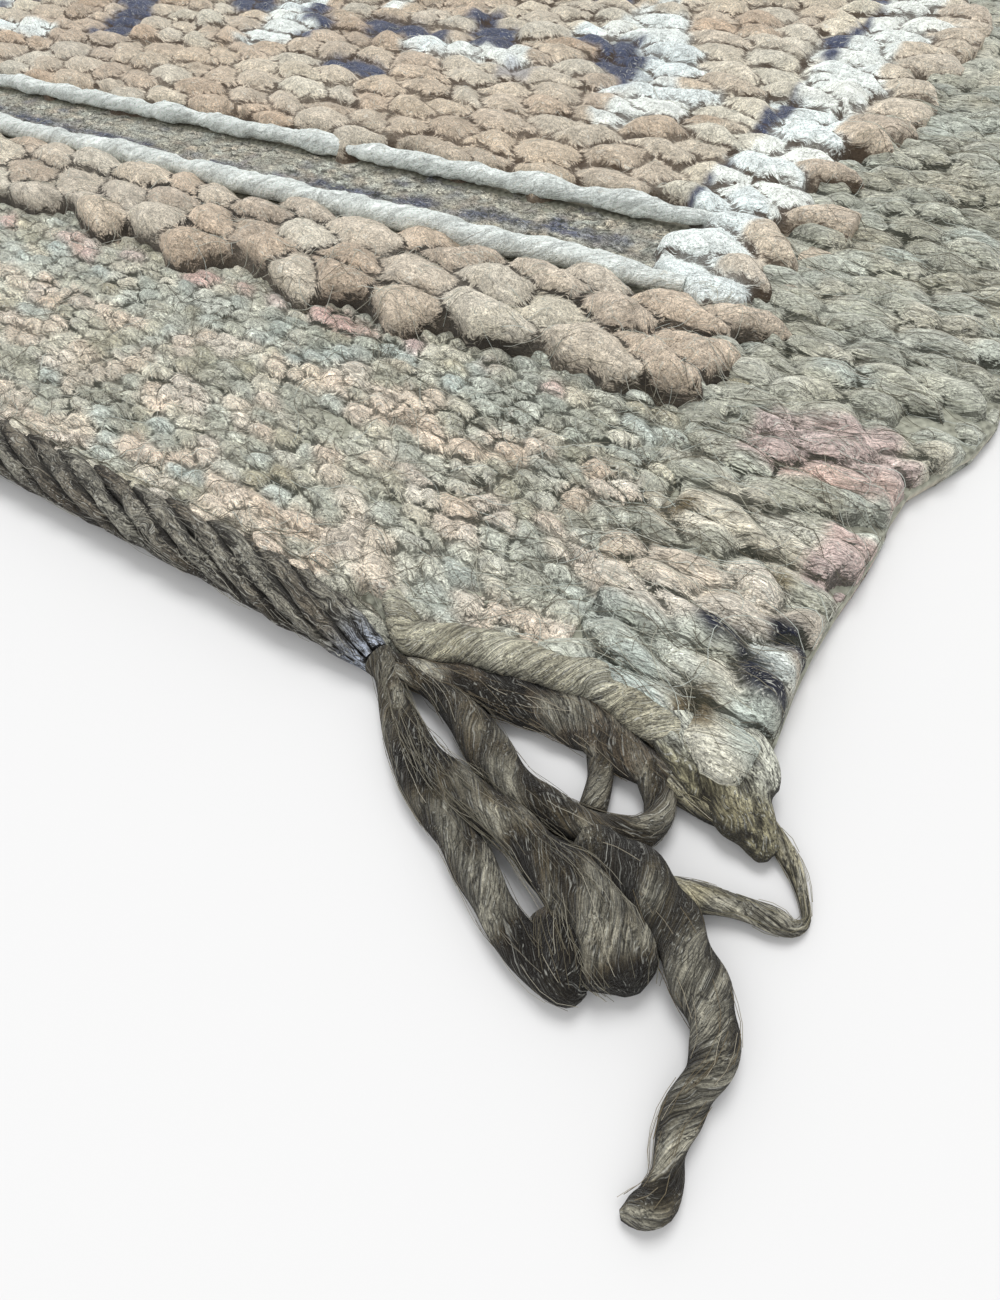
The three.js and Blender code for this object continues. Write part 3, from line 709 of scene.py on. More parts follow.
def build_felted_tree(cells):
    """A fine sheet is let down on a bed of stitches and parted by the creases of the cells into
    packed mounds. Each takes the colour of the stitch at its middle, but colours much darker or
    paler than the ground stay where they are. Rim is low in the creases, in hollows, on sides that
    face the near end and on undersides: there the wool finish paints shade."""
    bench, given = node_tree(
        "felted_sheet",
        {
            "Sheet": "Geometry", "Places": "Object", "Shapes": "Collection", "Low": "Float",
            "Low tint": "Color", "Wander": "Float", "Wander size": "Float", "Soften": "Int",
            "Around": "Int", "Bleed": "Int", **LUMP_SOCKETS,
        },
    )
    places = bench.add("GeometryNodeObjectInfo", {}, {"Object": given["Places"]}, 4)
    bed = lay_stitches(bench, places, given["Shapes"])

    x, y, z = bench.parts(bench.here())
    drift = []
    for shift in (0.0, APART):
        where = bench.vector(x + shift, y - shift, 0.0)
        large = bench.noise(where, 1 / given["Wander size"], 1.5) - 0.5
        small = bench.noise(where, 4 / given["Wander size"], 1.0) - 0.5
        drift.append((large * 2 + small * 0.7) * given["Wander"])

    def height_under(hit):
        return bench.parts(hit.beside(HIT_PLACE))[2] * hit + given["Low"] * (1 - hit)

    def under_ceiling(height):
        return bench.maths("SMOOTH_MIN", height, bench.named("ceiling"), CEILING_SOFTNESS * MM)

    under = ray_down(bench, bed, bench.vector(x + drift[0], y + drift[1], RAY_START), "tint")
    sheet = bench.keep(given["Sheet"], "top", under_ceiling(height_under(under)))
    sheet = bench.keep(sheet, "around", bench.blurred_name("top", given["Around"]))
    around = bench.named("around")

    sheet = bench.keep(sheet, "cell", cell_place(bench, cells))
    cell = bench.named("cell")
    edge = crease_distance(bench, cell, cells)
    middle_x, middle_y, middle_row = cell_middle(bench, cell, cells)
    middle = ray_down(bench, bed, bench.vector(middle_x, middle_y, RAY_START), "tint")
    present = cell_present(bench, cells, middle_x, middle_row)

    full = bench.between(edge, 0.0, 0.4)
    ahead = middle_row - bench.parts(cell)[1]
    dome = (full * (2 - full) - 0.6) * (cells.dome * MM) + ahead * (cells.tilt * MM)
    top = around + (height_under(middle) - around) * 0.5 + dome
    top = top * present + (1 - present) * (ABSENT_HEIGHT * MM)
    sheet = bench.keep(sheet, "top", under_ceiling(top))

    red = bench.parts(under.beside(HIT_ATTRIBUTE))[0]
    vivid = bench.larger(bench.between(red, 0.3, 0.2), bench.between(red, 0.8, 0.86))
    own = bench.larger(vivid, cells.own) * under
    tint = bench.blend(middle, given["Low tint"], middle.beside(HIT_ATTRIBUTE))
    tint = bench.blend(own, tint, under.beside(HIT_ATTRIBUTE))
    sheet = bench.keep(sheet, "tint", tint)
    # Rim falls along the creases and where the sheet lies below the blurred height around it: painted shade.
    sheet = bench.keep(sheet, "rim", bench.between(edge, 0.0, 0.15, -1.0, 0.4))
    sheet = bench.keep(sheet, "top", bench.blurred_name("top", given["Soften"]))
    sheet = bench.keep(sheet, "tint", bench.blurred_name("tint", given["Bleed"]))
    height = bench.named("top")
    stands = (height - around) / MM
    sheet = bench.keep(sheet, "rim", bench.blurred_name("rim", 1) + stands * 0.25)

    let_down = bench.named("let_down")
    place = bench.vector(x, y, height * let_down + z * (1 - let_down))
    shaped = lumpy(bench, bench.moved(sheet, place), given)
    # Painted shade on sides that face the near end and on undersides; level, the normal's height, weakens
    # the painted crease lines on steep wool.
    shaped = bench.keep(shaped, "rim", shaded_rim(bench, bench.named("rim"), 0.7, 0.5))
    shaped = bench.keep(shaped, "level", bench.parts(bench.normal())[2])
    return end_tree(bench, combed(bench, shaped, 0.0), given)


# The rim of a laid lump below which its skin gets painted shade.
LUMP_CREASE = 0.62


def build_lump_tree():
    """Tufts that have felted into one another: one skin is drawn round all of them."""
    bench, given = node_tree(
        "felted_lumps",
        {
            "Places": "Geometry", "Shapes": "Collection", "Grain": "Float", "Lay": "Float",
            "Soften": "Int", "Around": "Int", "Bleed": "Int", **LUMP_SOCKETS,
        },
    )
    laid = lumpy(bench, lay_stitches(bench, given["Places"], given["Shapes"]), given)
    grain = given["Grain"]
    sockets = {"Mesh": laid, "Density": 1.0, "Voxel Size": grain, "Interior Band Width": grain * 1.5}
    volume = bench.add("GeometryNodeMeshToVolume", {"resolution_mode": "VOXEL_SIZE"}, sockets)
    sockets = {"Volume": volume, "Threshold": 0.15, "Adaptivity": 0.0}
    skin = bench.add("GeometryNodeVolumeToMesh", {"resolution_mode": "GRID"}, sockets)

    here = bench.here()
    for name in ("tint", "rim"):
        settings = {"data_type": kind_of(name)}
        sockets = {"Mesh": laid, "Value": bench.named(name), "Sample Position": here}
        nearest = bench.add("GeometryNodeSampleNearestSurface", settings, sockets)
        skin = bench.keep(skin, name, nearest)
    skin = bench.moved(skin, bench.blurred(here, "FLOAT_VECTOR", given["Soften"]))
    # Painted shade: rim falls in hollows of the skin, on the lower parts of each laid lump, on sides that
    # face the near end and on undersides.
    away = bench.vectors("SUBTRACT", here, bench.blurred(here, "FLOAT_VECTOR", given["Around"]))
    stands = bench.dot(away, bench.normal()) / MM
    low = bench.between(bench.named("rim"), LUMP_CREASE, 0.1, 0.0, -2.4)
    skin = bench.keep(skin, "rim", shaded_rim(bench, stands * 3.0 + low, 1.3, 1.4))
    skin = bench.keep(skin, "rim", bench.blurred_name("rim", 2))
    skin = bench.keep(skin, "tint", bench.blurred_name("tint", given["Bleed"]))
    return end_tree(bench, combed(bench, skin, given["Lay"]), given)


def ring_of(bench, sides):
    """The round section of a yarn or a hair."""
    sockets = {"Resolution": sides, "Radius": 1.0}
    return bench.add("GeometryNodeCurvePrimitiveCircle", {"mode": "RADIUS"}, sockets)


def swept(bench, curves, ring):
    """A closed tube along every curve, as thick as the curve's own attribute says."""
    thick = bench.named("thick")
    sockets = {"Curve": curves, "Profile Curve": ring, "Scale": thick, "Fill Caps": True}
    return bench.add("GeometryNodeCurveToMesh", {}, sockets)


def build_hair_tree():
    """Fine hairs let down on the wool: they bridge the creases and lift off by their own z."""
    bench, given = node_tree("stray_hairs", {"Lines": "Geometry", "Bed": "Collection", "Wool": "Material"})
    bed = bench.add("GeometryNodeCollectionInfo", {}, {"Collection": given["Bed"]})
    bed = bench.add("GeometryNodeRealizeInstances", {}, {"Geometry": bed})
    x, y, z = bench.parts(bench.here())
    hit = ray_down(bench, bed, bench.vector(x, y, RAY_START))
    lines = bench.keep(given["Lines"], "top", bench.parts(hit.beside(HIT_PLACE))[2])
    higher = bench.larger(bench.named("top"), bench.blurred_name("top", 3))
    lines = bench.moved(lines, bench.vector(x, y, higher + z))
    curves = bench.add("GeometryNodeMeshToCurve", {}, {"Mesh": lines})
    return end_tree(bench, swept(bench, curves, ring_of(bench, 3)), given)


def build_yarn_tree():
    """A round yarn is swept along every line. Its fibres turn round it by its twist, and rim says
    how far a point faces outwards; the wool finish paints shade where it faces away."""
    sockets = {"Lines": "Geometry", "Sides": "Int", "Twist": "Float", **LUMP_SOCKETS}
    bench, given = node_tree("swept_yarns", sockets)
    curves = bench.add("GeometryNodeMeshToCurve", {}, {"Mesh": given["Lines"]})
    curves = bench.keep(curves, "run", bench.add("GeometryNodeSplineParameter", {}, {}, 1))
    ring = bench.keep(ring_of(bench, given["Sides"]), "round", bench.here())
    yarns = swept(bench, curves, ring)
    run, thick = bench.named("run"), bench.named("thick")
    round_x, round_y, _ = bench.parts(bench.rotated(bench.named("round"), run * given["Twist"]))
    yarns = bench.keep(yarns, "fibre", bench.vector(run, round_x * thick, round_y * thick))
    yarns = bench.keep(yarns, "rim", bench.dot(bench.normal(), bench.named("outward")))
    shaped = lumpy(bench, yarns, given)
    return end_tree(bench, bench.add("GeometryNodeRealizeInstances", {}, {0: shaped}), given)


def add_object(name, mesh):
    thing = bpy.data.objects.new(name, mesh)
    bpy.context.scene.collection.objects.link(thing)
    return thing


def make_piece(name, mesh, tree, values):
    """Runs a tree on a mesh of points or lines and keeps the result as a plain mesh."""
    source = add_object(name + "_plan", mesh)
    modifier = source.modifiers.new("make", "NODES")
    modifier.node_group = tree
    for item in tree.interface.items_tree:
        if item.in_out == "INPUT" and item.name in values:
            modifier[item.identifier] = values[item.name]
    bpy.context.view_layer.update()
    evaluated = source.evaluated_get(bpy.context.evaluated_depsgraph_get())
    made = bpy.data.meshes.new_from_object(evaluated)
    source.modifiers.remove(modifier)
    bpy.data.objects.remove(source)
    made.name = name
    return add_object(name, made)


def put(mesh, name, values):
    """Writes one attribute of a mesh."""
    kind = kind_of(name)
    attribute = mesh.attributes.new(name, kind, "POINT")
    if kind == "FLOAT_COLOR":
        values = [opaque(value) for value in values]
    flat = [number for value in values for number in (value if hasattr(value, "__len__") else [value])]
    field = {"FLOAT_COLOR": "color", "FLOAT_VECTOR": "vector"}.get(kind, "value")
    attribute.data.foreach_set(field, flat)


def new_mesh(name, points, edges, faces, **kept):
    """A mesh with its attributes."""
    mesh = bpy.data.meshes.new(name)
    mesh.from_pydata(points, edges, faces)
    for label, values in kept.items():
        put(mesh, label, values)
    return mesh


def plain_piece(name, mesh, material):
    """A piece whose mesh no tree makes: it is smoothed and gets its wool here."""
    mesh.polygons.foreach_set("use_smooth", [True] * len(mesh.polygons))
    mesh.materials.append(material)
    return add_object(name, mesh)


Stitch = namedtuple("Stitch", "place turn size tint shape seed")


def stitches_mesh(name, stitches):
    fields = ("turn", "size", "tint", "shape", "seed")
    kept = {field: [getattr(stitch, field) for stitch in stitches] for field in fields}
    return new_mesh(name, [stitch.place for stitch in stitches], [], [], **kept)


Yarn = namedtuple("Yarn", "points thick tint seed outward", defaults=[(0, 0, 1)])


def yarns_mesh(name, yarns):
    """Lines for the yarn tree; what a yarn keeps is one value, or a list with one a point."""
    points, edges = [], []
    kept = {"outward": [], "thick": [], "tint": [], "seed": []}
    for yarn in yarns:
        first, count = len(points), len(yarn.points)
        points += yarn.points
        edges += [(first + i, first + i + 1) for i in range(count - 1)]
        for label, values in kept.items():
            value = getattr(yarn, label)
            values += value if isinstance(value, list) else [value] * count
    return new_mesh(name, points, edges, [], **kept)


# Fullness squares a pillow off, crease dents its top, taper thins one end, bend curves it and
# slant turns its fibres.
Pillow = namedtuple("Pillow", "fullness crease taper bend slant")
PILLOWS = [
    Pillow(2.3, 0.0, 0.0, 0.0, 0.5),
    Pillow(2.6, 0.3, 0.1, 0.15, 0.3),
    Pillow(2.2, 0.0, 0.28, -0.2, 0.7),
    Pillow(2.8, 0.18, -0.22, 0.1, -0.3),
    Pillow(2.4, 0.4, 0.0, -0.12, 0.6),
]


def pillow_mesh(name, pillow, around, rings):
    """A soft closed lump whose fibres run from one end to the other along X."""
    points, units, rims, faces = [], [], [], []

    def add(t, angle, radius):
        y, z = radius * math.cos(angle), radius * math.sin(angle)
        spun = angle + pillow.slant * t
        units.append((t, math.cos(spun), math.sin(spun)))
        # rim is the height on the pillow; the lump tree paints shade on its lower part.
        rims.append(z)
        top = max(0.0, math.sin(angle))
        dent = 1 - pillow.crease * top * math.exp(-((math.cos(angle) + 0.1) / 0.4) ** 2)
        swell = 1 + pillow.taper * t
        points.append((t, y * swell * dent + pillow.bend * t * t, z * swell * dent))

    add(-1, 0, 0)
    for ring in range(1, rings):
        t = -math.cos(math.pi * ring / rings)
        radius = (1 - abs(t) ** pillow.fullness) ** (1 / pillow.fullness)
        for side in range(around):
            add(t, 2 * math.pi * (side + 0.5) / around, radius)
    add(1, 0, 0)
    last = len(points) - 1
    for side in range(around):
        following = (side + 1) % around
        faces.append((0, 1 + following, 1 + side))
        for ring in range(rings - 2):
            a = 1 + ring * around
            b = a + around
            faces.append((a + side, a + following, b + following, b + side))
        end = 1 + (rings - 2) * around
        faces.append((end + side, end + following, last))
    return new_mesh(name, points, [], faces, unit=units, rim=rims)


def shape_family(name, around, rings):
    """The pillows as a collection, in the order of their names."""
    family = bpy.data.collections.new(name)
    for number, pillow in enumerate(PILLOWS):
        label = f"{name}_{number}"
        family.objects.link(bpy.data.objects.new(label, pillow_mesh(label, pillow, around, rings)))
    return family


def varied(dice, tint, spread=0.1):
    """A tint a little lighter or darker and a little warmer or cooler."""
    light = 1 + dice.uniform(-spread, spread)
    warm = dice.uniform(-spread, spread) * 0.4
    return (tint[0] * light * (1 + warm), tint[1] * light, tint[2] * light * (1 - warm))


def mixed(tint_a, tint_b, share):
    return tuple(a + (b - a) * share for a, b in zip(tint_a, tint_b))


def degrees(*angles):
    """Turns about X, Y and Z, given in degrees, as Blender wants them."""
    return tuple(math.radians(angle) for angle in angles)


def any_stitch(dice, place, turn, size, tint, spread):
    """A stitch of any of the pillow shapes. Size is half its width, depth and height."""
    return Stitch(
        place, turn, tuple(length * MM for length in size), varied(dice, tint, spread),
        dice.randrange(len(PILLOWS)), dice.uniform(0, 10),
    )


FLAT_TREE = build_felted_tree(FLAT_CELLS)
PILE_TREE = build_felted_tree(PILE_CELLS)
BAND_TREE = build_felted_tree(BAND_CELLS)
EDGE_TREE = build_felted_tree(EDGE_CELLS)
FRONT_TREE = build_felted_tree(FRONT_CELLS)
BACK_TREE = build_felted_tree(BACK_CELLS)
LUMP_TREE = build_lump_tree()
HAIR_TREE = build_hair_tree()
YARN_TREE = build_yarn_tree()
BED_PILLOWS = shape_family("bed_pillow", 16, 9)


def lumps(lump, lump_size, ripple, ripple_size, material):
    return {
        "Lump": lump * MM,
        "Lump size": lump_size * MM,
        "Ripple": ripple * MM,
        "Ripple size": ripple_size * MM,
        "Wool": material,
    }


def graded(start, stop, fine, coarse, calm):
    """Places from start to stop; the step grows from fine to coarse over `calm` millimetres."""
    places = [0.0]
    while places[-1] < stop - start:
        share = min(1.0, places[-1] / calm)
        places.append(places[-1] + fine + (coarse - fine) * share)
    fit = (stop - start) / places[-1]
    return [start + place * fit for place in places]


def round_edge(depth, radius, crown):
    """Height of a soft edge at a depth in from it: a quarter round up to the crown."""
    if depth >= radius:
        return crown
    return 1.0 + (crown - 1.0) * math.sqrt(max(0.0, 1 - (1 - depth / radius) ** 2))


# The most that a sheet may rise: anywhere, on the selvedges, and where the hem roll lies on it.
FREE_CEILING = 30
SELVEDGE_CEILING = 16
HEM_CEILING = 2.5
HEM_ROLL_DEPTH = 2
HEM_ROLL_END = 84


def sheet_ceiling(across, along, edge_round):
    if edge_round:
        in_end = min(along, CLOTH_LENGTH - along) + HEM_ROLL_DEPTH
        depth = min(across, CLOTH_WIDTH - across, in_end)
        return round_edge(max(0, depth), edge_round, SELVEDGE_CEILING)
    if along < HEM_ROLL_DEPTH and across < HEM_ROLL_END:
        return HEM_CEILING
    return FREE_CEILING


def sheet_mesh(name, acrosses, alongs, foot, edge_round=0):
    """A fine sheet to be let down on a bed: its top, a wall down to foot and an underside.
    With edge_round its outer long edge and its ends are rounded down to the floor."""
    wide, long = len(acrosses), len(alongs)
    points = [rug_point(across, along, foot) for along in alongs for across in acrosses]
    ceilings = [sheet_ceiling(across, along, edge_round) * MM for along in alongs for across in acrosses]
    faces = []
    for j in range(long - 1):
        for i in range(wide - 1):
            a = j * wide + i
            faces.append((a, a + wide, a + wide + 1, a + 1))
    loop = [j * wide for j in range(long)]
    loop += [(long - 1) * wide + i for i in range(1, wide)]
    loop += [j * wide + wide - 1 for j in range(long - 2, -1, -1)]
    loop += [i for i in range(wide - 2, 0, -1)]
    first, count = len(points), len(loop)
    points += [points[k].copy() for k in loop]
    ceilings += [ceilings[k] for k in loop]
    for k in range(count):
        following = (k + 1) % count
        faces.append((loop[k], first + k, first + following, loop[following]))
    faces.append(tuple(first + k for k in reversed(range(count))))
    falls = [1.0] * first + [0.0] * count
    return new_mesh(name, points, [], faces, let_down=falls, ceiling=ceilings)


# The pattern of the pile field, charted as strokes of white with navy beside them. Each
# stroke is a run of (across, along) points; the far half of the rug repeats it turned round.
Stroke = namedtuple("Stroke", "tint half_width points")
CHART = [
    Stroke("white", 7, [(138, 215), (132, 242), (143, 275), (149, 308), (165, 322)]),
    Stroke("white", 7, [(165, 322), (187, 308), (182, 330), (176, 363), (170, 396), (190, 430)]),
    Stroke("white", 7, [(204, 270), (264, 268)]),
    Stroke("white", 7, [(330, 242), (345, 275), (363, 308), (352, 340)]),
    Stroke("white", 6, [(308, 297), (306, 332), (322, 360)]),
    Stroke("white", 7, [(462, 225), (500, 226)]),
    Stroke("white", 6, [(420, 318), (440, 350), (432, 390)]),
    Stroke("white", 6, [(236, 380), (262, 402), (290, 430)]),
    Stroke("navy", 7, [(143, 242), (152, 268), (154, 282)]),
    Stroke("navy", 7, [(165, 290), (170, 296)]),
    Stroke("navy", 7, [(182, 316), (186, 322)]),
    Stroke("navy", 7, [(182, 352), (186, 364)]),
    Stroke("navy", 7, [(207, 352), (214, 360)]),
    Stroke("navy", 9, [(222, 280), (238, 288), (250, 303)]),
    Stroke("navy", 8, [(226, 300), (244, 296)]),
    Stroke("navy", 6, [(264, 281), (286, 281)]),
    Stroke("navy", 6, [(182, 226), (208, 226)]),
    Stroke("navy", 6, [(259, 231), (285, 231)]),
    Stroke("pale navy", 7, [(196, 250), (202, 256)]),
    Stroke("navy", 8, [(325, 264), (352, 297)]),
    Stroke("navy", 7, [(308, 322), (312, 328)]),
    Stroke("navy", 8, [(435, 242), (462, 286)]),
    Stroke("navy", 8, [(388, 300), (410, 330)]),
    Stroke("navy", 7, [(250, 410), (276, 436)]),
    Stroke("navy", 7, [(360, 400), (380, 430)]),
]
CHART_TINTS = {"white": IVORY, "navy": NAVY, "pale navy": PALE_NAVY}


def distance_to_stroke(x, y, points):
    nearest = math.inf
    for (ax, ay), (bx, by) in zip(points, points[1:]):
        dx, dy = bx - ax, by - ay
        share = kept_within(0, 1, ((x - ax) * dx + (y - ay) * dy) / (dx * dx + dy * dy))
        nearest = min(nearest, math.hypot(x - ax - share * dx, y - ay - share * dy))
    return nearest


def field_wool(across, along, dice):
    """The name and tint of the wool for a knot of the field."""
    if along > CLOTH_LENGTH / 2:
        across, along = CLOTH_WIDTH - across, CLOTH_LENGTH - along
    for stroke in CHART:
        if distance_to_stroke(across, along, stroke.points) < stroke.half_width:
            return stroke.tint, CHART_TINTS[stroke.tint]
    patch = wave(across / 60, along / 40, 3.1)
    share = kept_within(0, 1, 0.3 + 0.8 * patch + dice.uniform(-0.3, 0.3))
    return "tan", mixed(mixed(TAN, DEEP_TAN, dice.uniform(0.2, 0.9)), CREAM, share)


KNOT_MIDDLE = 7.2
KNOT_WIDTH_SHARE = 0.68
KNOT_DEPTH_SHARE = 0.72
LOW_KNOT_DROP = 1.0
LOW_KNOT_SHARE = 0.8


def pile_knot(across, along, width, depth, name, tint, dice):
    """One knot's tuft: a soft pillow lying across the row, its front edge raised. Navy tufts are
    lower."""
    low = name in ("navy", "pale navy")
    rise = dice.uniform(5.0, 6.8) * (LOW_KNOT_SHARE if low else 1)
    middle = KNOT_MIDDLE + dice.uniform(-1.0, 1.0) - (LOW_KNOT_DROP if low else 0)
    turn = degrees(dice.uniform(-26, -8), 0, dice.uniform(-15, 15))
    size = (width * KNOT_WIDTH_SHARE, depth * KNOT_DEPTH_SHARE, rise)
    return any_stitch(dice, rug_point(across, along, middle), turn, size, tint, 0.08)


Column = namedtuple("Column", "middle width name tint")
BORDER = [
    Column(52.5, 24, "tan", TAN),
    Column(74, 21, "white", IVORY),
    Column(87, 9, "navy", NAVY),
    Column(94.5, 11, "tan", CREAM),
]
BORDER_EDGE = 100.0

# The navy line gives way to cream where a wave of this length is below this level.
NAVY_BREAK_LENGTH = 34
NAVY_BREAK = -0.18


def border_columns(along, dice, in_field):
    """The columns down both sides: wide tan tufts, white ones, a thin navy line and cream."""
    made = []
    for side in (0, 1):
        for column in BORDER if in_field else BORDER[:2]:
            across = column.middle + dice.uniform(-1.5, 1.5)
            across = CLOTH_WIDTH - across if side else across
            name, tint = column.name, column.tint
            if name == "navy" and wave(side * 9.0, along / NAVY_BREAK_LENGTH, 0) < NAVY_BREAK:
                name, tint = "tan", CREAM
            if name == "tan":
                tint = mixed(tint, CREAM, dice.uniform(0, 0.45))
            width = column.width + dice.uniform(-1, 2.5)
            place = along + dice.uniform(-1, 1)
            made.append(pile_knot(across, place, width, FIELD_PITCH, name, tint, dice))
    return made


KNOT_WIDTHS = [10, 12, 13, 15, 17, 20]
KNOT_SPACING = 0.93

# Some wide tan tufts lie as two, one before the other.
SPLIT_WIDTH = 14
SPLIT_CHANCE = 0.35
SPLIT_SHIFT = 0.27
SPLIT_DEPTH = 0.62


def pile_rows():
    """All tufts of the field, row by row from the front."""
    dice = random.Random(41)
    made = []
    for row in range(FIELD_ROWS):
        along = FIELD_START + (row + 0.5) * FIELD_PITCH
        made += border_columns(along, dice, True)
        across = BORDER_EDGE + dice.uniform(0, 4)
        while across < CLOTH_WIDTH - BORDER_EDGE - 5:
            width = dice.choice(KNOT_WIDTHS)
            middle = across + width / 2
            name, tint = field_wool(middle, along, dice)
            shift = dice.uniform(-1.6, 1.6)
            if name == "tan" and width > SPLIT_WIDTH and dice.random() < SPLIT_CHANCE:
                for half in (-SPLIT_SHIFT, SPLIT_SHIFT):
                    place = (middle + dice.uniform(-1, 1), along + half * FIELD_PITCH)
                    depth = FIELD_PITCH * SPLIT_DEPTH
                    made.append(pile_knot(*place, width, depth, name, tint, dice))
            else:
                made.append(pile_knot(middle, along + shift, width, FIELD_PITCH, name, tint, dice))
            across += width * KNOT_SPACING
    return made


def side_columns():
    """The tan and white tufts that run on beside the flat bands to the front rows."""
    dice = random.Random(43)
    made = []
    for end in (0, 1):
        for row in (7, 22, 37):
            made += border_columns(from_front(LOWER_WEFT_START + row, end), dice, False)
    return made


Puff = namedtuple("Puff", "across along width depth crown turn tint")

# Large tufts of the front rows at the front right corner.
CORNER_PUFFS = [
    Puff(57.5, 94, 17, 21, 13.6, 8, TAN),
    Puff(44.5, 97, 16, 19, 13.2, -10, TAN),
    Puff(75, 94, 17, 20, 13.4, 3, mixed(TAN, CREAM, 0.3)),
    Puff(90.5, 92, 14, 19, 12.8, -6, TAN),
    Puff(104, 91, 17, 18, 13.0, 5, CREAM),
    Puff(52, 114, 24, 17, 12.8, -3, TAN),
    Puff(76, 113, 21, 17, 12.6, 5, TAN),
]

# The rows of the other large tufts; at the front they start beside the ones above.
PuffRow = namedtuple("PuffRow", "start depth crown first")
PUFF_BED = [
    PuffRow(FLAT_END, FRONT_ROW, 13.0, 112),
    PuffRow(SECOND_ROW_START, SECOND_ROW, 12.6, 87),
]
PUFF_EDGE = 43.0
PUFF_SPACING = 0.9
SMALL_LOBES = 3
SUNK_LOBE = 3.2


def puff_lobes(dice, puff):
    """A large tuft: a middle lobe, small ones on it, and one that is sunk behind it."""
    half = puff.crown / 2 - 1.5
    lobes = [(0, 0, 1.0)]
    for _ in range(SMALL_LOBES):
        lobes.append((dice.uniform(-0.4, 0.4), dice.uniform(-0.4, 0.3), dice.uniform(0.55, 0.8)))
    lobes.append((dice.uniform(-0.3, 0.3), 0.8, 0.9))
    made = []
    for number, (aside, ahead, share) in enumerate(lobes):
        sunk = 0
        if number > SMALL_LOBES:
            sunk = SUNK_LOBE
        elif number > 0:
            sunk = dice.uniform(-0.6, 1.6)
        place = rug_point(
            puff.across + aside * puff.width,
            puff.along + ahead * puff.depth * 0.6,
            puff.crown - half * share - sunk,
        )
        turn = degrees(dice.uniform(-16, -4), 0, puff.turn + dice.uniform(-25, 25))
        size = (puff.width * 0.6 * share, puff.depth * 0.64 * share, half * share)
        made.append(any_stitch(dice, place, turn, size, puff.tint, 0.07))
    return made


def front_rows():
    """The bed of large tufts at each end, under the sheet that packs them as three rows."""
    dice = random.Random(7)
    made = []
    for puff in CORNER_PUFFS:
        made += puff_lobes(dice, puff)
    for end in (0, 1):
        for row in PUFF_BED:
            across = PUFF_EDGE if end else row.first
            while across < CLOTH_WIDTH - PUFF_EDGE - 2:
                width = dice.uniform(12, 22)
                along = row.start + row.depth * 0.5 + dice.uniform(-2, 1.5)
                tint = mixed(TAN, CREAM if dice.random() < 0.5 else DEEP_TAN, dice.uniform(0.1, 0.7))
                puff = Puff(
                    across + width / 2, from_front(along, end), width, row.depth,
                    row.crown + dice.uniform(-1.2, 1.2), dice.uniform(-12, 12), tint,
                )
                made += puff_lobes(dice, puff)
                across += width * PUFF_SPACING
    return made


Stripe = namedtuple("Stripe", "until tint other share")

# Stripes of the flatwoven end, by the distance from the end: two wools woven turn about.
STRIPES = [
    Stripe(11, PEACH, SAGE, 0.3),
    Stripe(24, SAGE, PEACH, 0.15),
    Stripe(35, PEACH, SAGE, 0.32),
    Stripe(44, SAGE, PEACH, 0.12),
    Stripe(55, PEACH, SAGE, 0.34),
    Stripe(73, SAGE, COOL_SAGE, 0.4),
    Stripe(78, PINK, SAGE, 0.5),
    Stripe(120, DARK_SAGE, SAGE, 0.4),
]

# The flat weave runs on under the front rows, and its first row swells over the hem.
FLAT_RUN_ON = 14
FLAT_HEIGHT = 4.4
HEM_HEIGHT = 7.0


def stripe_tint(place, dice):
    """A stitch's wool by its place in the stripes, and whether it stands a little higher."""
    stripe = next(each for each in STRIPES if place < each.until)
    tint = stripe.other if dice.random() < stripe.share else stripe.tint
    if tint in (PEACH, PINK):
        return mixed(tint, dice.choice([CREAM, TAN]), dice.uniform(0, 0.6)), True
    other = dice.choice([COOL_SAGE, DARK_SAGE, DARK_SAGE, OLIVE, CREAM])
    return mixed(tint, other, dice.uniform(0.2, 0.8)), False


def flatweave(end, dice):
    """The rounded weft stitches of one flatwoven end, each row shifted by half a stitch."""
    made = []
    rows = int((FLAT_END + FLAT_RUN_ON) / FLAT_STITCH_PITCH) + 1
    for row in range(rows):
        along = (row - 0.2) * FLAT_STITCH_PITCH
        across = SELVEDGE_WIDTH - 5 + (row % 2) * FLAT_STITCH_WIDTH / 2
        while across < CLOTH_WIDTH - SELVEDGE_WIDTH + 4:
            if row == 0 and end == 0 and across < HEM_ROLL_END:
                across += FLAT_STITCH_WIDTH
                continue
            wander = 5 * wave(across / 45, row * 0.4, end * 5.0)
            tint, raised = stripe_tint(along + wander, dice)
            height = dice.uniform(3.5, 4.6) if raised else dice.uniform(2.7, 3.8)
            width = FLAT_STITCH_WIDTH * dice.uniform(0.56, 0.74)
            place = rug_point(
                across + dice.uniform(-1.1, 1.1),
                from_front(along, end) + dice.uniform(-0.7, 0.7),
                HEM_HEIGHT if row == 0 else FLAT_HEIGHT,
            )
            turn = degrees(dice.uniform(-38, -14), dice.uniform(-8, 8), dice.uniform(-28, 12))
            size = (width, FLAT_STITCH_PITCH * dice.uniform(0.58, 0.72), height)
            made.append(any_stitch(dice, place, turn, size, tint, 0.1))
            across += FLAT_STITCH_WIDTH
    return made


Patch = namedtuple("Patch", "across_from across_to along_from along_to tint share")

# Coloured stitches of the right selvedge near the corner.
CORNER_PATCHES = [
    Patch(-2, 32, 70, 88, PINK, 0.7),
    Patch(8, 40, 43, 58, CREAM, 0.85),
    Patch(0, 8, 40, 56, PINK, 0.7),
    Patch(2, 42, 21, 37, PEACH, 0.8),
    Patch(0, 40, 4, 20, COOL_SAGE, 0.5),
]

Knot = namedtuple("Knot", "across along width depth height turn tint")
KNOT_HALF_HEIGHT = 3.0

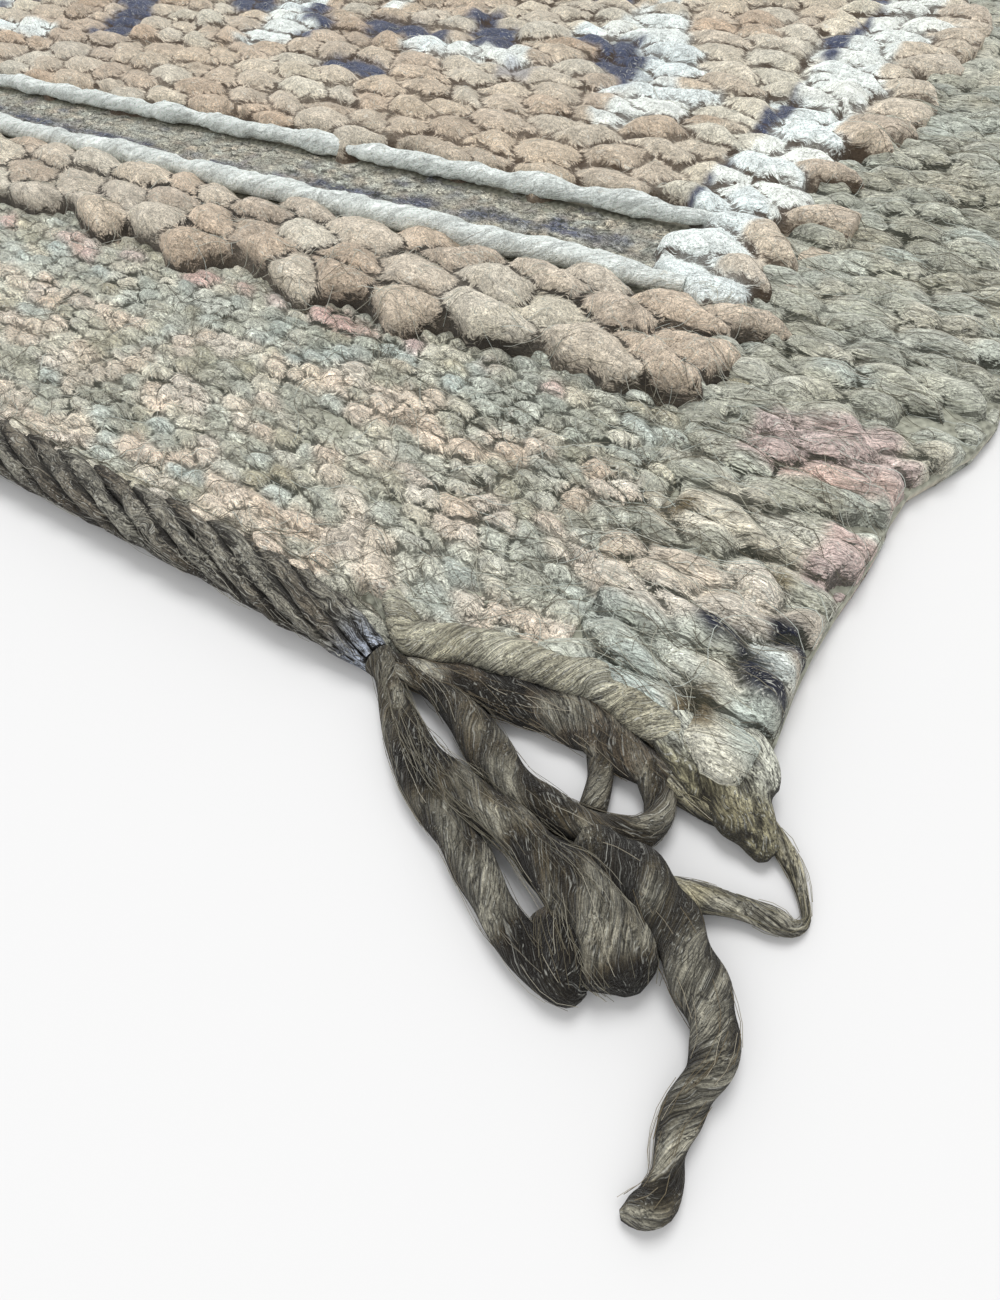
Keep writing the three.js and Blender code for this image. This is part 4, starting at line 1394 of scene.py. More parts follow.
# Odd coloured stitches that lie on top near the corner.
CORNER_KNOTS = [
    Knot(36.5, 48, 8, 6.5, 9.6, 0, BROWN),
    Knot(31, 45, 16, 7, 9.0, 20, CREAM),
    Knot(14.5, 7.5, 8.5, 7.5, 8.8, 0, BROWN),
    Knot(11.5, 39, 6, 4, 8.8, 0, mixed(OLIVE, BROWN, 0.6)),
    Knot(9, 4, 17, 9, 6.2, -38, mixed(SAGE, CREAM, 0.4)),
    Knot(3, 7.5, 14, 8, 5.4, -52, COOL_SAGE),
    Knot(18, 10, 15, 8.5, 6.8, -28, mixed(COOL_SAGE, CREAM, 0.4)),
    Knot(24, 16, 15, 8, 7.0, -16, mixed(COOL_SAGE, CREAM, 0.3)),
    Knot(13, 15.5, 12, 7, 7.0, -20, mixed(SAGE, CREAM, 0.6)),
    Knot(6, 21, 12, 6, 7.4, -18, mixed(COOL_SAGE, IVORY, 0.5)),
    Knot(27, 8.5, 14, 8, 6.6, -20, COOL_SAGE),
    Knot(15.5, 21.2, 11, 5.6, 10.0, -8, INK),
    Knot(4.6, 26.4, 11, 7.0, 9.0, -35, INK),
    Knot(6.2, 16.8, 14, 6.2, 9.2, -36, INK),
]


def selvedge_tint(is_right, across, along, dice):
    other = dice.choice([COOL_SAGE, COOL_SAGE, DARK_SAGE, DARK_SAGE, CREAM])
    base = mixed(mixed(SAGE, DARK_SAGE, 0.4), other, dice.uniform(0, 0.6))
    if is_right:
        for patch in CORNER_PATCHES:
            inside = patch.across_from <= across < patch.across_to
            if inside and patch.along_from <= along < patch.along_to:
                return mixed(base, patch.tint, patch.share)
    elif FLAT_END - 10 < min(along, CLOTH_LENGTH - along) < FLAT_END:
        return mixed(base, PINK, 0.5)
    return base


def selvedge(is_right):
    """The wrapped stitches of one selvedge, overlapping like shingles. Where the cloth bulges, a
    fifth column fills the room inside the four cords."""
    dice = random.Random(23 if is_right else 24)
    made = []
    for cord in range(SELVEDGE_CORDS + 1):
        along, until = 1.0 + (cord % 2) * SELVEDGE_STITCH / 2, CLOTH_LENGTH - 1
        if cord == SELVEDGE_CORDS:
            along, until = FLAT_END + 2, CLOTH_LENGTH - FLAT_END - 2
        outer = cord == 0
        while along < until:
            length = SELVEDGE_STITCH * dice.uniform(0.85, 1.25)
            across = (cord + 0.5) * SELVEDGE_PITCH + dice.uniform(-1, 1)
            middle = along + length / 2
            spread = 1 + side_bulge(is_right, middle) / SELVEDGE_WIDTH
            width = SELVEDGE_PITCH * spread * (0.64 if outer else dice.uniform(0.64, 0.95))
            rise = 6.8 if outer else dice.uniform(4.0, 5.4)
            height = 3.0 if outer else 5.2 + dice.uniform(-0.4, 0.4)
            place = rug_point(across if is_right else CLOTH_WIDTH - across, middle, height)
            lean = dice.uniform(-0.14, 0.2) - 0.25 * math.exp(-middle / 20)
            turn = (math.radians(-20), 0, lean if is_right else -lean)
            size = (width, length * dice.uniform(0.58, 0.68), rise)
            tint = selvedge_tint(is_right, across, middle, dice)
            made.append(any_stitch(dice, place, turn, size, tint, 0.1))
            along += length
    for knot in CORNER_KNOTS if is_right else []:
        place = rug_point(knot.across, knot.along, knot.height)
        size = (knot.width / 2 * MM, knot.depth / 2 * MM, KNOT_HALF_HEIGHT * MM)
        made.append(Stitch(place, degrees(0, 0, knot.turn), size, knot.tint, 0, dice.uniform(0, 10)))
    return made


WEFT_INSET = 70
WEFT_STEPS = 240
WEFT_HEIGHT = 9.8
LOWER_WEFT_RADIUS = 3.7
UPPER_WEFT_RADIUS = 2.9


def white_wefts():
    """Two soft white wefts across each end of the field, a little uneven."""
    dice = random.Random(12)
    made = []
    for end in (0, 1):
        for start, radius in (
            (LOWER_WEFT_START, LOWER_WEFT_RADIUS), (UPPER_WEFT_START, UPPER_WEFT_RADIUS)
        ):
            points, thick, tints = [], [], []
            for i in range(WEFT_STEPS + 1):
                across = WEFT_INSET + (CLOTH_WIDTH - 2 * WEFT_INSET) * i / WEFT_STEPS
                slim = min(1, 0.35 + min(i, WEFT_STEPS - i) / 14)
                along = start + WHITE_WEFT / 2 + 1.9 * wave(across / 24, start, end * 3.0)
                swell = wave(across / 16, start + 7, end * 3.0)
                points.append(rug_point(across, from_front(along, end), WEFT_HEIGHT + 0.5 * swell))
                thick.append((radius + 1.4 * swell) * slim * MM)
                shade = 0.5 + 0.5 * wave(across / 11, start, 9.0)
                tints.append(mixed(IVORY, COOL_SAGE, 0.15 * shade))
            made.append(Yarn(points, thick, tints, dice.uniform(0, 10)))
    return made


BAND_ROW_PITCH = 2.9
BAND_STITCH_WIDTH = 3.7
BAND_OVERLAP = 8
BAND_HEIGHT = 4.6
NAVY_LINE = 13
NAVY_LINE_WIDTH = 4.2


def flat_band(end):
    """The fine flat weave between the white wefts, with a broken navy line through it."""
    dice = random.Random(31 + end)
    made = []
    rows = round(FLAT_BAND / BAND_ROW_PITCH) + 2
    for row in range(rows):
        across = BAND_RECESS - BAND_OVERLAP + (row % 2) * BAND_STITCH_WIDTH / 2
        while across < CLOTH_WIDTH - BAND_RECESS + BAND_OVERLAP:
            along = BAND_START + (row - 0.5) * BAND_ROW_PITCH
            off_line = along - (BAND_START + NAVY_LINE + 4 * math.sin(across / 60))
            near = math.exp(-((off_line / NAVY_LINE_WIDTH) ** 2))
            ragged = wave(across / 14, row * 0.7, end + 2.0)
            stray = 0.6 if wave(across / 9, row * 0.5, end + 8.0) > 0.42 else 0
            tint = mixed(BAND_GREY, dice.choice([SAGE, TAN, DARK_SAGE]), dice.uniform(0, 0.6))
            navy = near * (0.75 + ragged * 1.3) + stray + dice.uniform(-0.15, 0.1)
            place = rug_point(
                across + dice.uniform(-0.5, 0.5),
                from_front(along, end) + dice.uniform(-0.4, 0.4),
                BAND_HEIGHT,
            )
            turn = degrees(0, 0, dice.uniform(-25, 25))
            size = (2.7, 2.3, dice.uniform(1.5, 2.4))
            tint = mixed(tint, NAVY, kept_within(0, 0.9, navy))
            made.append(any_stitch(dice, place, turn, size, tint, 0.14))
            across += BAND_STITCH_WIDTH
    return made


Station = namedtuple("Station", "x y width height")


def floor_route(*rows):
    """A route on the floor: x and y from the front right corner, and the width and height there."""
    return [Station(*row) for row in rows]


# Loose warp ends, from the cloth's corner.
OUTER_STRAND = floor_route(
    (-70, -11.45, 6.2, 7), (-67, -12.5, 5.8, 6.6), (-61.9, -18, 5, 5.6), (-56.5, -23.2, 5.2, 5.4),
    (-50.3, -27.6, 5.8, 5.4), (-43.8, -30.6, 6.5, 5.6), (-36.2, -33.6, 7, 6), (-30.2, -36.9, 7, 6.2),
    (-24, -40.4, 6.6, 6), (-17.7, -42.6, 6.4, 5.6), (-12, -43.6, 6.4, 5.4), (-8.4, -42, 5, 4.6),
)
MIDDLE_STRAND = floor_route(
    (-67.2, -12.6, 5, 6.6), (-63.6, -15.5, 4.8, 6.4), (-56.9, -20, 5.2, 6.6), (-50.5, -23.4, 5.8, 6.8),
    (-44.2, -25.6, 7.2, 7), (-38.4, -26.4, 7.6, 7.4), (-32.9, -27, 7.4, 7.8), (-27.6, -28, 7.4, 8.4),
    (-22.7, -29.6, 8.8, 9), (-17, -31.2, 11, 9.4), (-12, -33.2, 12, 9.4), (-8, -35.8, 12, 9),
    (-4.6, -38, 10.4, 7.8), (-2.4, -40, 6.6, 5.6),
)
LOOP_STRAND = floor_route(
    (-68, -10.8, 4.4, 6.4), (-62.6, -10.9, 4.4, 6.2), (-55.5, -11.8, 4.6, 6.2), (-48.2, -13.9, 7.4, 6.6),
    (-42.7, -16.6, 8, 6.8), (-37.8, -19.1, 7.8, 7), (-33.2, -20.8, 7.2, 7), (-28.4, -21.4, 6.8, 7),
    (-23.4, -21.5, 6.4, 6.8), (-17.9, -20.6, 6.2, 6.4), (-13.2, -18.4, 5.6, 6), (-11.1, -14.9, 5.2, 5.8),
    (-11.8, -11.3, 5.2, 5.8), (-14.4, -8.2, 5.6, 6), (-17, -6, 5.6, 6),
)
HEM_STRIP = floor_route(
    (-66, -12, 5, 6.4), (-60, -9.9, 7, 6), (-52.5, -7.6, 8.4, 5.8), (-46.4, -6.6, 8.6, 5.6),
    (-39.8, -5, 9.6, 5.4), (-33.3, -3.6, 11.4, 5.4), (-27.6, -4, 10.8, 5.4), (-22.4, -5.4, 9, 5.6),
    (-17, -6.6, 7, 5.8), (-12, -7.4, 4.6, 5.6),
)
BRIDGE_STRAND = floor_route((-25.4, -6, 5, 4.6), (-22.4, -11.8, 4.8, 4.6), (-20.8, -18, 5, 4.6))
LEFT_LUMP = floor_route(
    (-18.4, -35.4, 6.4, 6.4), (-14.6, -38.6, 8.4, 7.6), (-11.2, -41.2, 9, 7), (-9.2, -43.2, 6, 5)
)
TAIL_STRAND = floor_route(
    (-20, -23.6, 6.6, 7), (-15, -24, 9.2, 8), (-9.3, -24.8, 9.8, 8.4), (-4.6, -26.6, 9.4, 8.2),
    (-0.6, -29.6, 8.6, 8), (3.6, -33, 8.2, 7.6), (7, -36, 7.8, 7), (9.2, -39, 7, 6.4),
    (9.9, -42.6, 6, 5.8), (9.3, -46.6, 5.4, 5.2), (9, -50.5, 5, 4.8), (9.4, -53.8, 4.6, 4.4),
    (10.3, -56.6, 4.4, 4.2), (10.1, -59.5, 4.8, 4.2), (8.3, -61.8, 4.4, 3.8), (6.6, -63.2, 3, 2.8),
)
CORNER_TIP = floor_route(
    (-15, -7, 5, 5.6), (-9, -7.6, 4.4, 5.4), (-3, -7.8, 5, 5.2), (2.2, -6.2, 5.4, 4.6),
    (6.2, -7.2, 3.6, 3.6), (9.8, -9.6, 2.8, 3.0), (12.3, -12.5, 2.1, 2.4), (13.9, -15, 1.5, 1.8),
    (14.6, -17, 1.5, 1.8), (13.2, -18.9, 2.8, 2.8), (10.6, -19.4, 4, 3.6), (7, -19.9, 3.7, 3.8),
    (3.4, -20.8, 4, 4.4), (-0.7, -22.4, 5, 5.4), (-4.6, -24.4, 5.6, 6),
)

CURVE_STEPS = 12


def smooth_route(route, step):
    """Even stations on a smooth curve through a route's own stations."""
    fine = []
    last = len(route) - 1
    for i in range(last):
        four = route[max(0, i - 1)], route[i], route[i + 1], route[min(last, i + 2)]
        for k in range(CURVE_STEPS):
            t = k / CURVE_STEPS
            values = [
                0.5 * (2 * b + (c - a) * t + (2 * a - 5 * b + 4 * c - d) * t * t
                       + (3 * b - a - 3 * c + d) * t ** 3)
                for a, b, c, d in zip(*four)
            ]
            fine.append(Station(*values))
    fine.append(route[-1])
    even, run, target = [fine[0]], 0.0, step
    for a, b in zip(fine, fine[1:]):
        gap = math.hypot(b.x - a.x, b.y - a.y)
        while gap > 0 and run + gap >= target:
            even.append(Station(*mixed(a, b, (target - run) / gap)))
            target += step
        run += gap
    return even


def sideways_at(stations, k):
    """The level direction across a route at one of its stations."""
    before, after = stations[max(0, k - 1)], stations[min(len(stations) - 1, k + 1)]
    direction = Vector((after.x - before.x, after.y - before.y, 0)).normalized()
    return Vector((-direction.y, direction.x, 0))


Spot = namedtuple("Spot", "x y radius pale")

# Where the loose ends are paler, or darker below 0, by the distance from the corner.
STRAND_SPOTS = [
    Spot(-27, -39, 5, 2.4), Spot(-12.5, -32.5, 5, 2.2), Spot(-9, -43.5, 4.5, -5.0),
    Spot(-16, -41, 4, -3.0), Spot(-11, -24.5, 5, -2.0), Spot(9, -20, 5, 1.6),
    Spot(-42, -17, 6, 0.9), Spot(-50, -27.5, 6, -1.6), Spot(-3, -39, 3, -3.0),
    Spot(4, -35, 4, 0.8), Spot(9.5, -52, 5, 0.7), Spot(-46, -6, 7, -1.6),
]


def spot_pale(station):
    """How much paler, or darker below 0, a strand is at a station."""
    total = 0.0
    for spot in STRAND_SPOTS:
        away = math.hypot(station.x - spot.x, station.y - spot.y) / spot.radius
        total += spot.pale * math.exp(-away * away)
    return total


Loose = namedtuple("Loose", "route tint lay grooves depth free_end")
LOOSE_STRANDS = [
    Loose(OUTER_STRAND, STRAND_BROWN, 30, 2, 0.05, True),
    Loose(MIDDLE_STRAND, STRAND_BROWN, 38, 3, 0.06, True),
    Loose(LOOP_STRAND, STRAND_BROWN, 27, 2, 0.05, False),
    Loose(HEM_STRIP, CORD_BROWN, 30, 3, 0.06, False),
    Loose(BRIDGE_STRAND, STRAND_BROWN, 30, 2, 0.05, False),
    Loose(LEFT_LUMP, CORD_BROWN, 30, 2, 0.04, True),
    Loose(TAIL_STRAND, STRAND_BROWN, 18, 2, 0.09, True),
    Loose(CORNER_TIP, OLIVE, 40, 2, 0.05, False),
]
STRAND_SIDES = 24
STRAND_STEP = 0.8
STRAND_FOOT = 0.15


def strand_rings(strand, tint, seed):
    """A strand that lies on the floor, as rings of points, each with its fibre, tint, seed and
    rim. Its plies show as grooves that turn once in its lay. The tint has painted light and shade:
    paler on top and on the plies' crowns, darker underneath and in the grooves; rim is low on the
    sides and in the grooves, where the wool finish paints shade."""
    stations = smooth_route(strand.route, STRAND_STEP)
    last = len(stations) - 1
    rings = []
    for k, station in enumerate(stations):
        sideways = sideways_at(stations, k)
        to_end = last - k if strand.free_end else last
        end = 0.35 + 0.65 * math.sin(math.pi / 2 * min(1, to_end / 3))
        turn = 2 * math.pi * k * STRAND_STEP / strand.lay
        spots = spot_pale(station)
        drift = wave(station.x / 13, station.y / 13, seed)
        ring = []
        for side in range(STRAND_SIDES):
            angle = 2 * math.pi * (side + 0.5) / STRAND_SIDES
            ply = math.cos(strand.grooves * (angle - turn))
            lump = wave(station.x / 5, station.y / 5, math.sin(angle) + seed)
            swell = (1 + strand.depth * (ply - 0.5)) * (1 + 0.08 * lump) * end
            out = station.width / 2 * math.cos(angle) * swell
            up = station.height / 2 * (1 + math.sin(angle) * swell)
            point = corner_point(
                station.x + sideways.x * out, station.y + sideways.y * out, max(STRAND_FOOT, up)
            )
            across = station.width / 2 * MM
            fibre = (k * STRAND_STEP * MM, across * math.cos(angle - turn), across * math.sin(angle - turn))
            cloud = wave(k * STRAND_STEP / 7, angle * 0.8, seed + 5)
            # Painted light and shade: the top and the plies' crowns paler, the underside and the grooves
            # darker; cloud, drift and spots add paler and darker patches.
            paler = 1.6 * cloud + 1.2 * drift + 0.35 * ply + 0.8 * math.sin(angle) + spots - 0.45
            lit = mixed(tint, STRAND_GREY, kept_within(0, 1, paler))
            lit = mixed(lit, STRAND_DARK_AND_SHADE, kept_within(0, 1, -paler))
            groove = strand.depth * 4 * (ply - 0.6)
            ring.append((point, fibre, lit, seed, math.sin(angle) + groove))
        rings.append(ring)
    return rings


def loose_strands():
    dice = random.Random(5)
    return [
        strand_rings(strand, varied(dice, strand.tint, 0.08), number * 1.7)
        for number, strand in enumerate(LOOSE_STRANDS)
    ]


def rings_mesh(name, strands):
    """A closed tube for each strand, through its rings."""
    rows = [row for rings in strands for ring in rings for row in ring]
    points, fibres, tints, seeds, rims = zip(*rows)
    faces = []
    first = 0
    for rings in strands:
        sides = len(rings[0])
        for k in range(len(rings) - 1):
            for side in range(sides):
                following = (side + 1) % sides
                a = first + k * sides
                faces.append((a + side, a + following, a + sides + following, a + sides + side))
        end = first + (len(rings) - 1) * sides
        faces.append(tuple(first + side for side in reversed(range(sides))))
        faces.append(tuple(end + side for side in range(sides)))
        first = end + sides
    return new_mesh(name, points, [], faces, fibre=fibres, tint=tints, seed=seeds, rim=rims)


# The hem cords: yarns laid round one another in a helix, about a near-black core whose dark in the
# gaps between the yarns is painted shade. The back cord is planned along the front end and then
# turned half round.
CORD_YARNS = 7
CORD_LAY = 88.0
CORD_WIDTH = 13.6
CORD_YARN_RADIUS = 2.15
CORD_CORE_INSET = 2.2
CORD_FRONT = floor_route(
    (-615, -7.15, 8.2, 7.1), (-606, -7.15, CORD_WIDTH, 11.8), (-400, -7.15, CORD_WIDTH, 11.8),
    (-200, -7.15, CORD_WIDTH, 11.8), (-112, -7.4, CORD_WIDTH, 11.8), (-96, -8.3, CORD_WIDTH, 11.6),
    (-85, -9, 12, 10.8), (-77, -10, 9.4, 9.4), (-70.6, -11.3, 6.4, 7.2),
)
CORD_BACK = floor_route(
    (-615, -7.15, 8.2, 7.1), (-606, -7.15, CORD_WIDTH, 11.8), (-310, -7.15, CORD_WIDTH, 11.8),
    (-14, -7.15, CORD_WIDTH, 11.8), (-5, -7.15, 8.2, 7.1),
)

# From here to its end the front cord turns pale at its bind.
BIND_START = -80
BIND_FADE = 8


def linear_route(route, step):
    even = []
    for a, b in zip(route, route[1:]):
        count = max(1, round(abs(b.x - a.x) / step))
        even += [Station(*mixed(a, b, k / count)) for k in range(count)]
    return even + [route[-1]]


def hem_cord(route, is_back):
    dice = random.Random(77 + is_back)
    stations = linear_route(route, 4.0 if is_back else 2.0)
    made = []
    for number in range(CORD_YARNS + 1):
        is_core = number == CORD_YARNS
        tone = dice.uniform(-0.4, 0.4)
        points, thick, tints, outwards = [], [], [], []
        for station in stations:
            angle = 2 * math.pi * (number / CORD_YARNS + station.x / CORD_LAY)
            outwards.append((0, (-1 if is_back else 1) * math.cos(angle), math.sin(angle)))
            unevenness = 1 + 0.25 * wave(station.x / 9, number * 3.0, 0)
            radius = CORD_YARN_RADIUS * (station.width / CORD_WIDTH) * unevenness
            out = 0 if is_core else station.width / 2 - radius
            up = 0 if is_core else station.height / 2 - radius
            height = station.height / 2 + up * math.sin(angle)
            point = corner_point(station.x, station.y + out * math.cos(angle), height)
            points.append(Vector((-point.x, -point.y, point.z)) if is_back else point)
            thick.append((station.height / 2 - CORD_CORE_INSET if is_core else radius) * MM)
            shade = 0.5 + 0.5 * wave(station.x / 24, number * 5.0, 4.0)
            # Painted light and shade: each yarn is paler where it lies on top of the cord and darker
            # underneath.
            lit = kept_within(0, 1, shade * 1.3 - 0.15 + tone + 0.3 * math.sin(angle))
            tint = STRAND_DARK_AND_SHADE if is_core else mixed(CORD_BROWN, CORD_GREY, lit)
            tint = mixed(tint, STRAND_DARK_AND_SHADE, kept_within(0, 0.92, 0.5 - 1.1 * math.sin(angle)))
            if station.x > BIND_START and not is_back:
                tint = mixed(tint, BIND_BLUE, min(1, (station.x - BIND_START) / BIND_FADE))
            tints.append(tint)
        made.append(Yarn(points, thick, tints, dice.uniform(0, 10), outwards))
    return made


ROLL_START = 76
ROLL_LENGTH = 70
ROLL_STEPS = 80
ROLL_HEIGHT = 5.2


def hem_roll():
    """The rolled hem between the cord's end and the corner's tip."""
    points, thick, tints = [], [], []
    for i in range(ROLL_STEPS + 1):
        across = ROLL_START - ROLL_LENGTH * i / ROLL_STEPS
        rise = math.sin(math.pi * min(1, i / 14) / 2)
        rise = rise * math.sin(math.pi * min(1, (ROLL_STEPS - i) / 14) / 2)
        points.append(rug_point(across, 2.6 + 0.8 * math.sin(across / 6), ROLL_HEIGHT))
        thick.append((2.3 + 1.5 * rise + 0.9 * wave(across / 9, 1, 0)) * MM)
        shade = 0.5 + 0.5 * wave(across / 9, 0, 2.0)
        tints.append(mixed(mixed(OLIVE, BROWN, 0.25), SAGE, 0.7 * shade))
    return [Yarn(points, thick, tints, 3.0)]


GROUND_STEP = 10.0
GROUND_MARGIN = 16
GROUND_FOOT = 0.3
GROUND_EDGE_FOOT = 1.2
UNDERSIDE_TAN = mixed(TAN, SAGE, 0.5)


def ground_zone(across, along):
    """The ground cloth's height and tint under the band or field that a place belongs to."""
    in_side = min(across, CLOTH_WIDTH - across)
    in_end = min(along, CLOTH_LENGTH - along)
    if in_side < SELVEDGE_WIDTH + GROUND_MARGIN or in_end < FLAT_END + GROUND_MARGIN:
        return GROUND_FLAT, DARK_SAGE
    if in_side > BAND_RECESS - 4 and LOWER_WEFT_START < in_end < FIELD_START:
        return GROUND_BAND, DARK_SAGE
    # Under the pile the dark brown ground paints the shade between the tufts.
    return GROUND_PILE, SHADE_BROWN


def ground_mesh(name):
    """The ground cloth: a fine height grid above, and a flat grid below, joined at the edge."""
    wide = round(CLOTH_WIDTH / GROUND_STEP)
    long = round(CLOTH_LENGTH / GROUND_STEP)
    points, tints, faces = [], [], []
    for lower in (False, True):
        for j in range(long + 1):
            for i in range(wide + 1):
                across = CLOTH_WIDTH - i * GROUND_STEP
                along = j * GROUND_STEP
                height, tint = (GROUND_FOOT, UNDERSIDE_TAN) if lower else ground_zone(across, along)
                if i in (0, wide) or j in (0, long):
                    height = GROUND_EDGE_FOOT if lower else GROUND_EDGE
                points.append(rug_point(across, along, height))
                tints.append(tint)
    row = wide + 1
    half = row * (long + 1)
    for j in range(long):
        for i in range(wide):
            a = j * row + i
            faces.append((a, a + 1, a + row + 1, a + row))
            faces.append((half + a, half + a + row, half + a + row + 1, half + a + 1))
    loop = [i for i in range(wide)]
    loop += [j * row + wide for j in range(long)]
    loop += [long * row + i for i in range(wide, 0, -1)]
    loop += [j * row for j in range(long, 0, -1)]
    for a, b in zip(loop, loop[1:] + loop[:1]):
        faces.append((a, half + a, half + b, b))
    return new_mesh(name, points, [], faces, tint=tints)


Fold = namedtuple("Fold", "x y z turn length width height tint")

# The corner's last stitches run out in a flap that narrows to the loose tip.
CORNER_FOLDS = [
    Fold(-13, 0.5, 5.4, -22, 18, 9, 6, SAGE),
    Fold(-5, 0.5, 5.2, -40, 17, 9, 6, mixed(SAGE, OLIVE, 0.5)),
    Fold(-1.2, 2.6, 5.0, -56, 14, 7, 6, SAGE),
    Fold(-11, -3.6, 4.4, -26, 17, 7, 6, FLAP_OLIVE),
    Fold(-4.6, -4.4, 4.2, -36, 19, 8, 5.8, FLAP_OLIVE),
    Fold(0.6, -4.6, 4.0, -52, 14, 7, 5.6, FLAP_OLIVE),
    Fold(0.2, -7.4, 3.4, -36, 16, 6, 5, FLAP_OLIVE),
    Fold(3.4, -7.2, 3.2, -42, 10, 4.4, 4.6, FLAP_OLIVE),
]


def corner_flap():
    dice = random.Random(15)
    made = []
    for fold in CORNER_FOLDS:
        place = corner_point(fold.x, fold.y, fold.z)
        size = (fold.length / 2, fold.width / 2, fold.height / 2)
        made.append(any_stitch(dice, place, degrees(0, 8, fold.turn), size, fold.tint, 0.06))
    return made


# Hairs that follow a route: how many, how long at most, and how far they lift off.
Tress = namedtuple("Tress", "route count reach lift tint")
TRESSES = [
    Tress(MIDDLE_STRAND, 150, 20, 1.2, wool(112, 108, 94)),
    Tress(OUTER_STRAND, 60, 14, 0.6, wool(104, 99, 86)),
    Tress(LOOP_STRAND, 70, 14, 0.6, wool(104, 99, 86)),
    Tress(TAIL_STRAND, 50, 12, 0.5, wool(110, 100, 80)),
    Tress(HEM_STRIP, 80, 12, 0.8, wool(112, 102, 84)),
    Tress(CORNER_TIP, 50, 12, 0.5, wool(130, 124, 100)),
    Tress(LEFT_LUMP, 50, 10, 1.0, wool(100, 94, 78)),
    Tress(linear_route(CORD_FRONT, 6.0)[40:], 300, 12, 0.8, wool(140, 138, 128)),
]
HAIR_RADIUS = 0.05
HAIR_FOOT = 0.2
HAIR_BOW = 0.12


def strand_hairs():
    """Fine stray hairs that follow the loose strands and the hem, a little off their surface."""
    dice = random.Random(91)
    made = []
    for tress in TRESSES:
        stations = smooth_route(tress.route, 1.0)
        for _ in range(tress.count):
            start = dice.randrange(0, max(1, len(stations) - 6))
            count = min(len(stations) - start, int(dice.uniform(0.4, 1) * tress.reach))
            angle = dice.uniform(-0.15, math.pi + 0.15)
            drift = dice.gauss(0.07, 0.06)
            lift = dice.uniform(0.0, 1.0) ** 2 * tress.lift
            points = []
            for k in range(0, count, 2):
                station = stations[start + k]
                sideways = sideways_at(stations, start + k)
                angle += drift + dice.gauss(0, 0.05)
                bow = HAIR_BOW + lift * math.sin(math.pi * k / max(1, count))
                out = (station.width / 2 + bow) * math.cos(angle)
                up = station.height / 2 + (station.height / 2 + bow) * math.sin(angle)
                points.append(corner_point(
                    station.x + sideways.x * out, station.y + sideways.y * out, max(HAIR_FOOT, up)
                ))
            if len(points) > 2:
                other = dice.choice([CORD_BROWN, CREAM, tress.tint])
                tint = mixed(tress.tint, other, dice.uniform(0, 0.4))
                made.append(Yarn(points, HAIR_RADIUS * dice.uniform(0.7, 1.2) * MM, tint, 1.0))
    return made


# Hairs strewn on the cloth. Spread above 1 crowds them to the right; sway is how far they turn
# from lying across the rug, in radians, and pale the share of pale ones.
Fluff = namedtuple("Fluff", "count across_from across_to along_from along_to spread length sway pale")
FLAT_FLUFF = [
    Fluff(1300, 42, 420, -2, 84, 1.5, 14, 0.7, 0.4),
    Fluff(450, 84, 480, -7, 3, 1.3, 8, 1.0, 0.4),
]
SELVEDGE_FLUFF = [Fluff(900, 1, 46, 0, 300, 1.3, 15, 0.16, 0.4)]
PILE_FLUFF = [
    Fluff(500, 40, 400, 84, 126, 1.3, 6, 1.2, 0.95),
    Fluff(500, 40, 420, 168, 330, 1.3, 6, 1.2, 0.8),
    Fluff(200, 90, 420, 128, 166, 1.3, 8, 0.9, 0.6),
]
PALE_HAIRS = [wool(206, 206, 194), wool(190, 188, 172), wool(196, 202, 194)]
DARK_HAIRS = [wool(112, 106, 92), wool(96, 92, 80), wool(128, 124, 110)]
HAIR_STEPS = 7
HAIR_REST = 0.05


def cloth_hairs(fluffs, seed):
    """Plans for fine curly hairs on the cloth, thicker towards the right. The height of a point
    is how far it lifts off the wool."""
    dice = random.Random(seed)
    made = []
    for fluff in fluffs:
        for _ in range(fluff.count):
            across = fluff.across_from
            across += (fluff.across_to - fluff.across_from) * dice.random() ** fluff.spread
            along = fluff.along_from + (fluff.along_to - fluff.along_from) * dice.random()
            heading = dice.gauss(0, fluff.sway) + (0 if dice.random() < 0.5 else math.pi)
            step = fluff.length * dice.uniform(0.5, 1.3) / HAIR_STEPS
            curl = dice.gauss(0, 0.16)
            lift = dice.uniform(0.0, 0.9)
            points = []
            for k in range(HAIR_STEPS + 1):
                rise = HAIR_REST + lift * math.sin(math.pi * k / HAIR_STEPS)
                points.append(rug_point(max(0.6, across), max(-1.0, along), rise))
                across += step * math.cos(heading)
                along += step * math.sin(heading)
                heading += curl + dice.gauss(0, 0.07)
            tint = dice.choice(PALE_HAIRS if dice.random() < fluff.pale else DARK_HAIRS)
            made.append(Yarn(points, dice.uniform(0.045, 0.08) * MM, tint, 1.0))
    return made


# How a sheet lies on its stitches. Low and low_tint are its height and tint where no stitch is
# under it, and it strays sideways by wander in waves of wander_size. Soften, around and bleed are
# steps of blurring: of its height, of the height its mounds rise from, and of its colour.
Felt = namedtuple("Felt", "low low_tint wander wander_size soften around bleed")


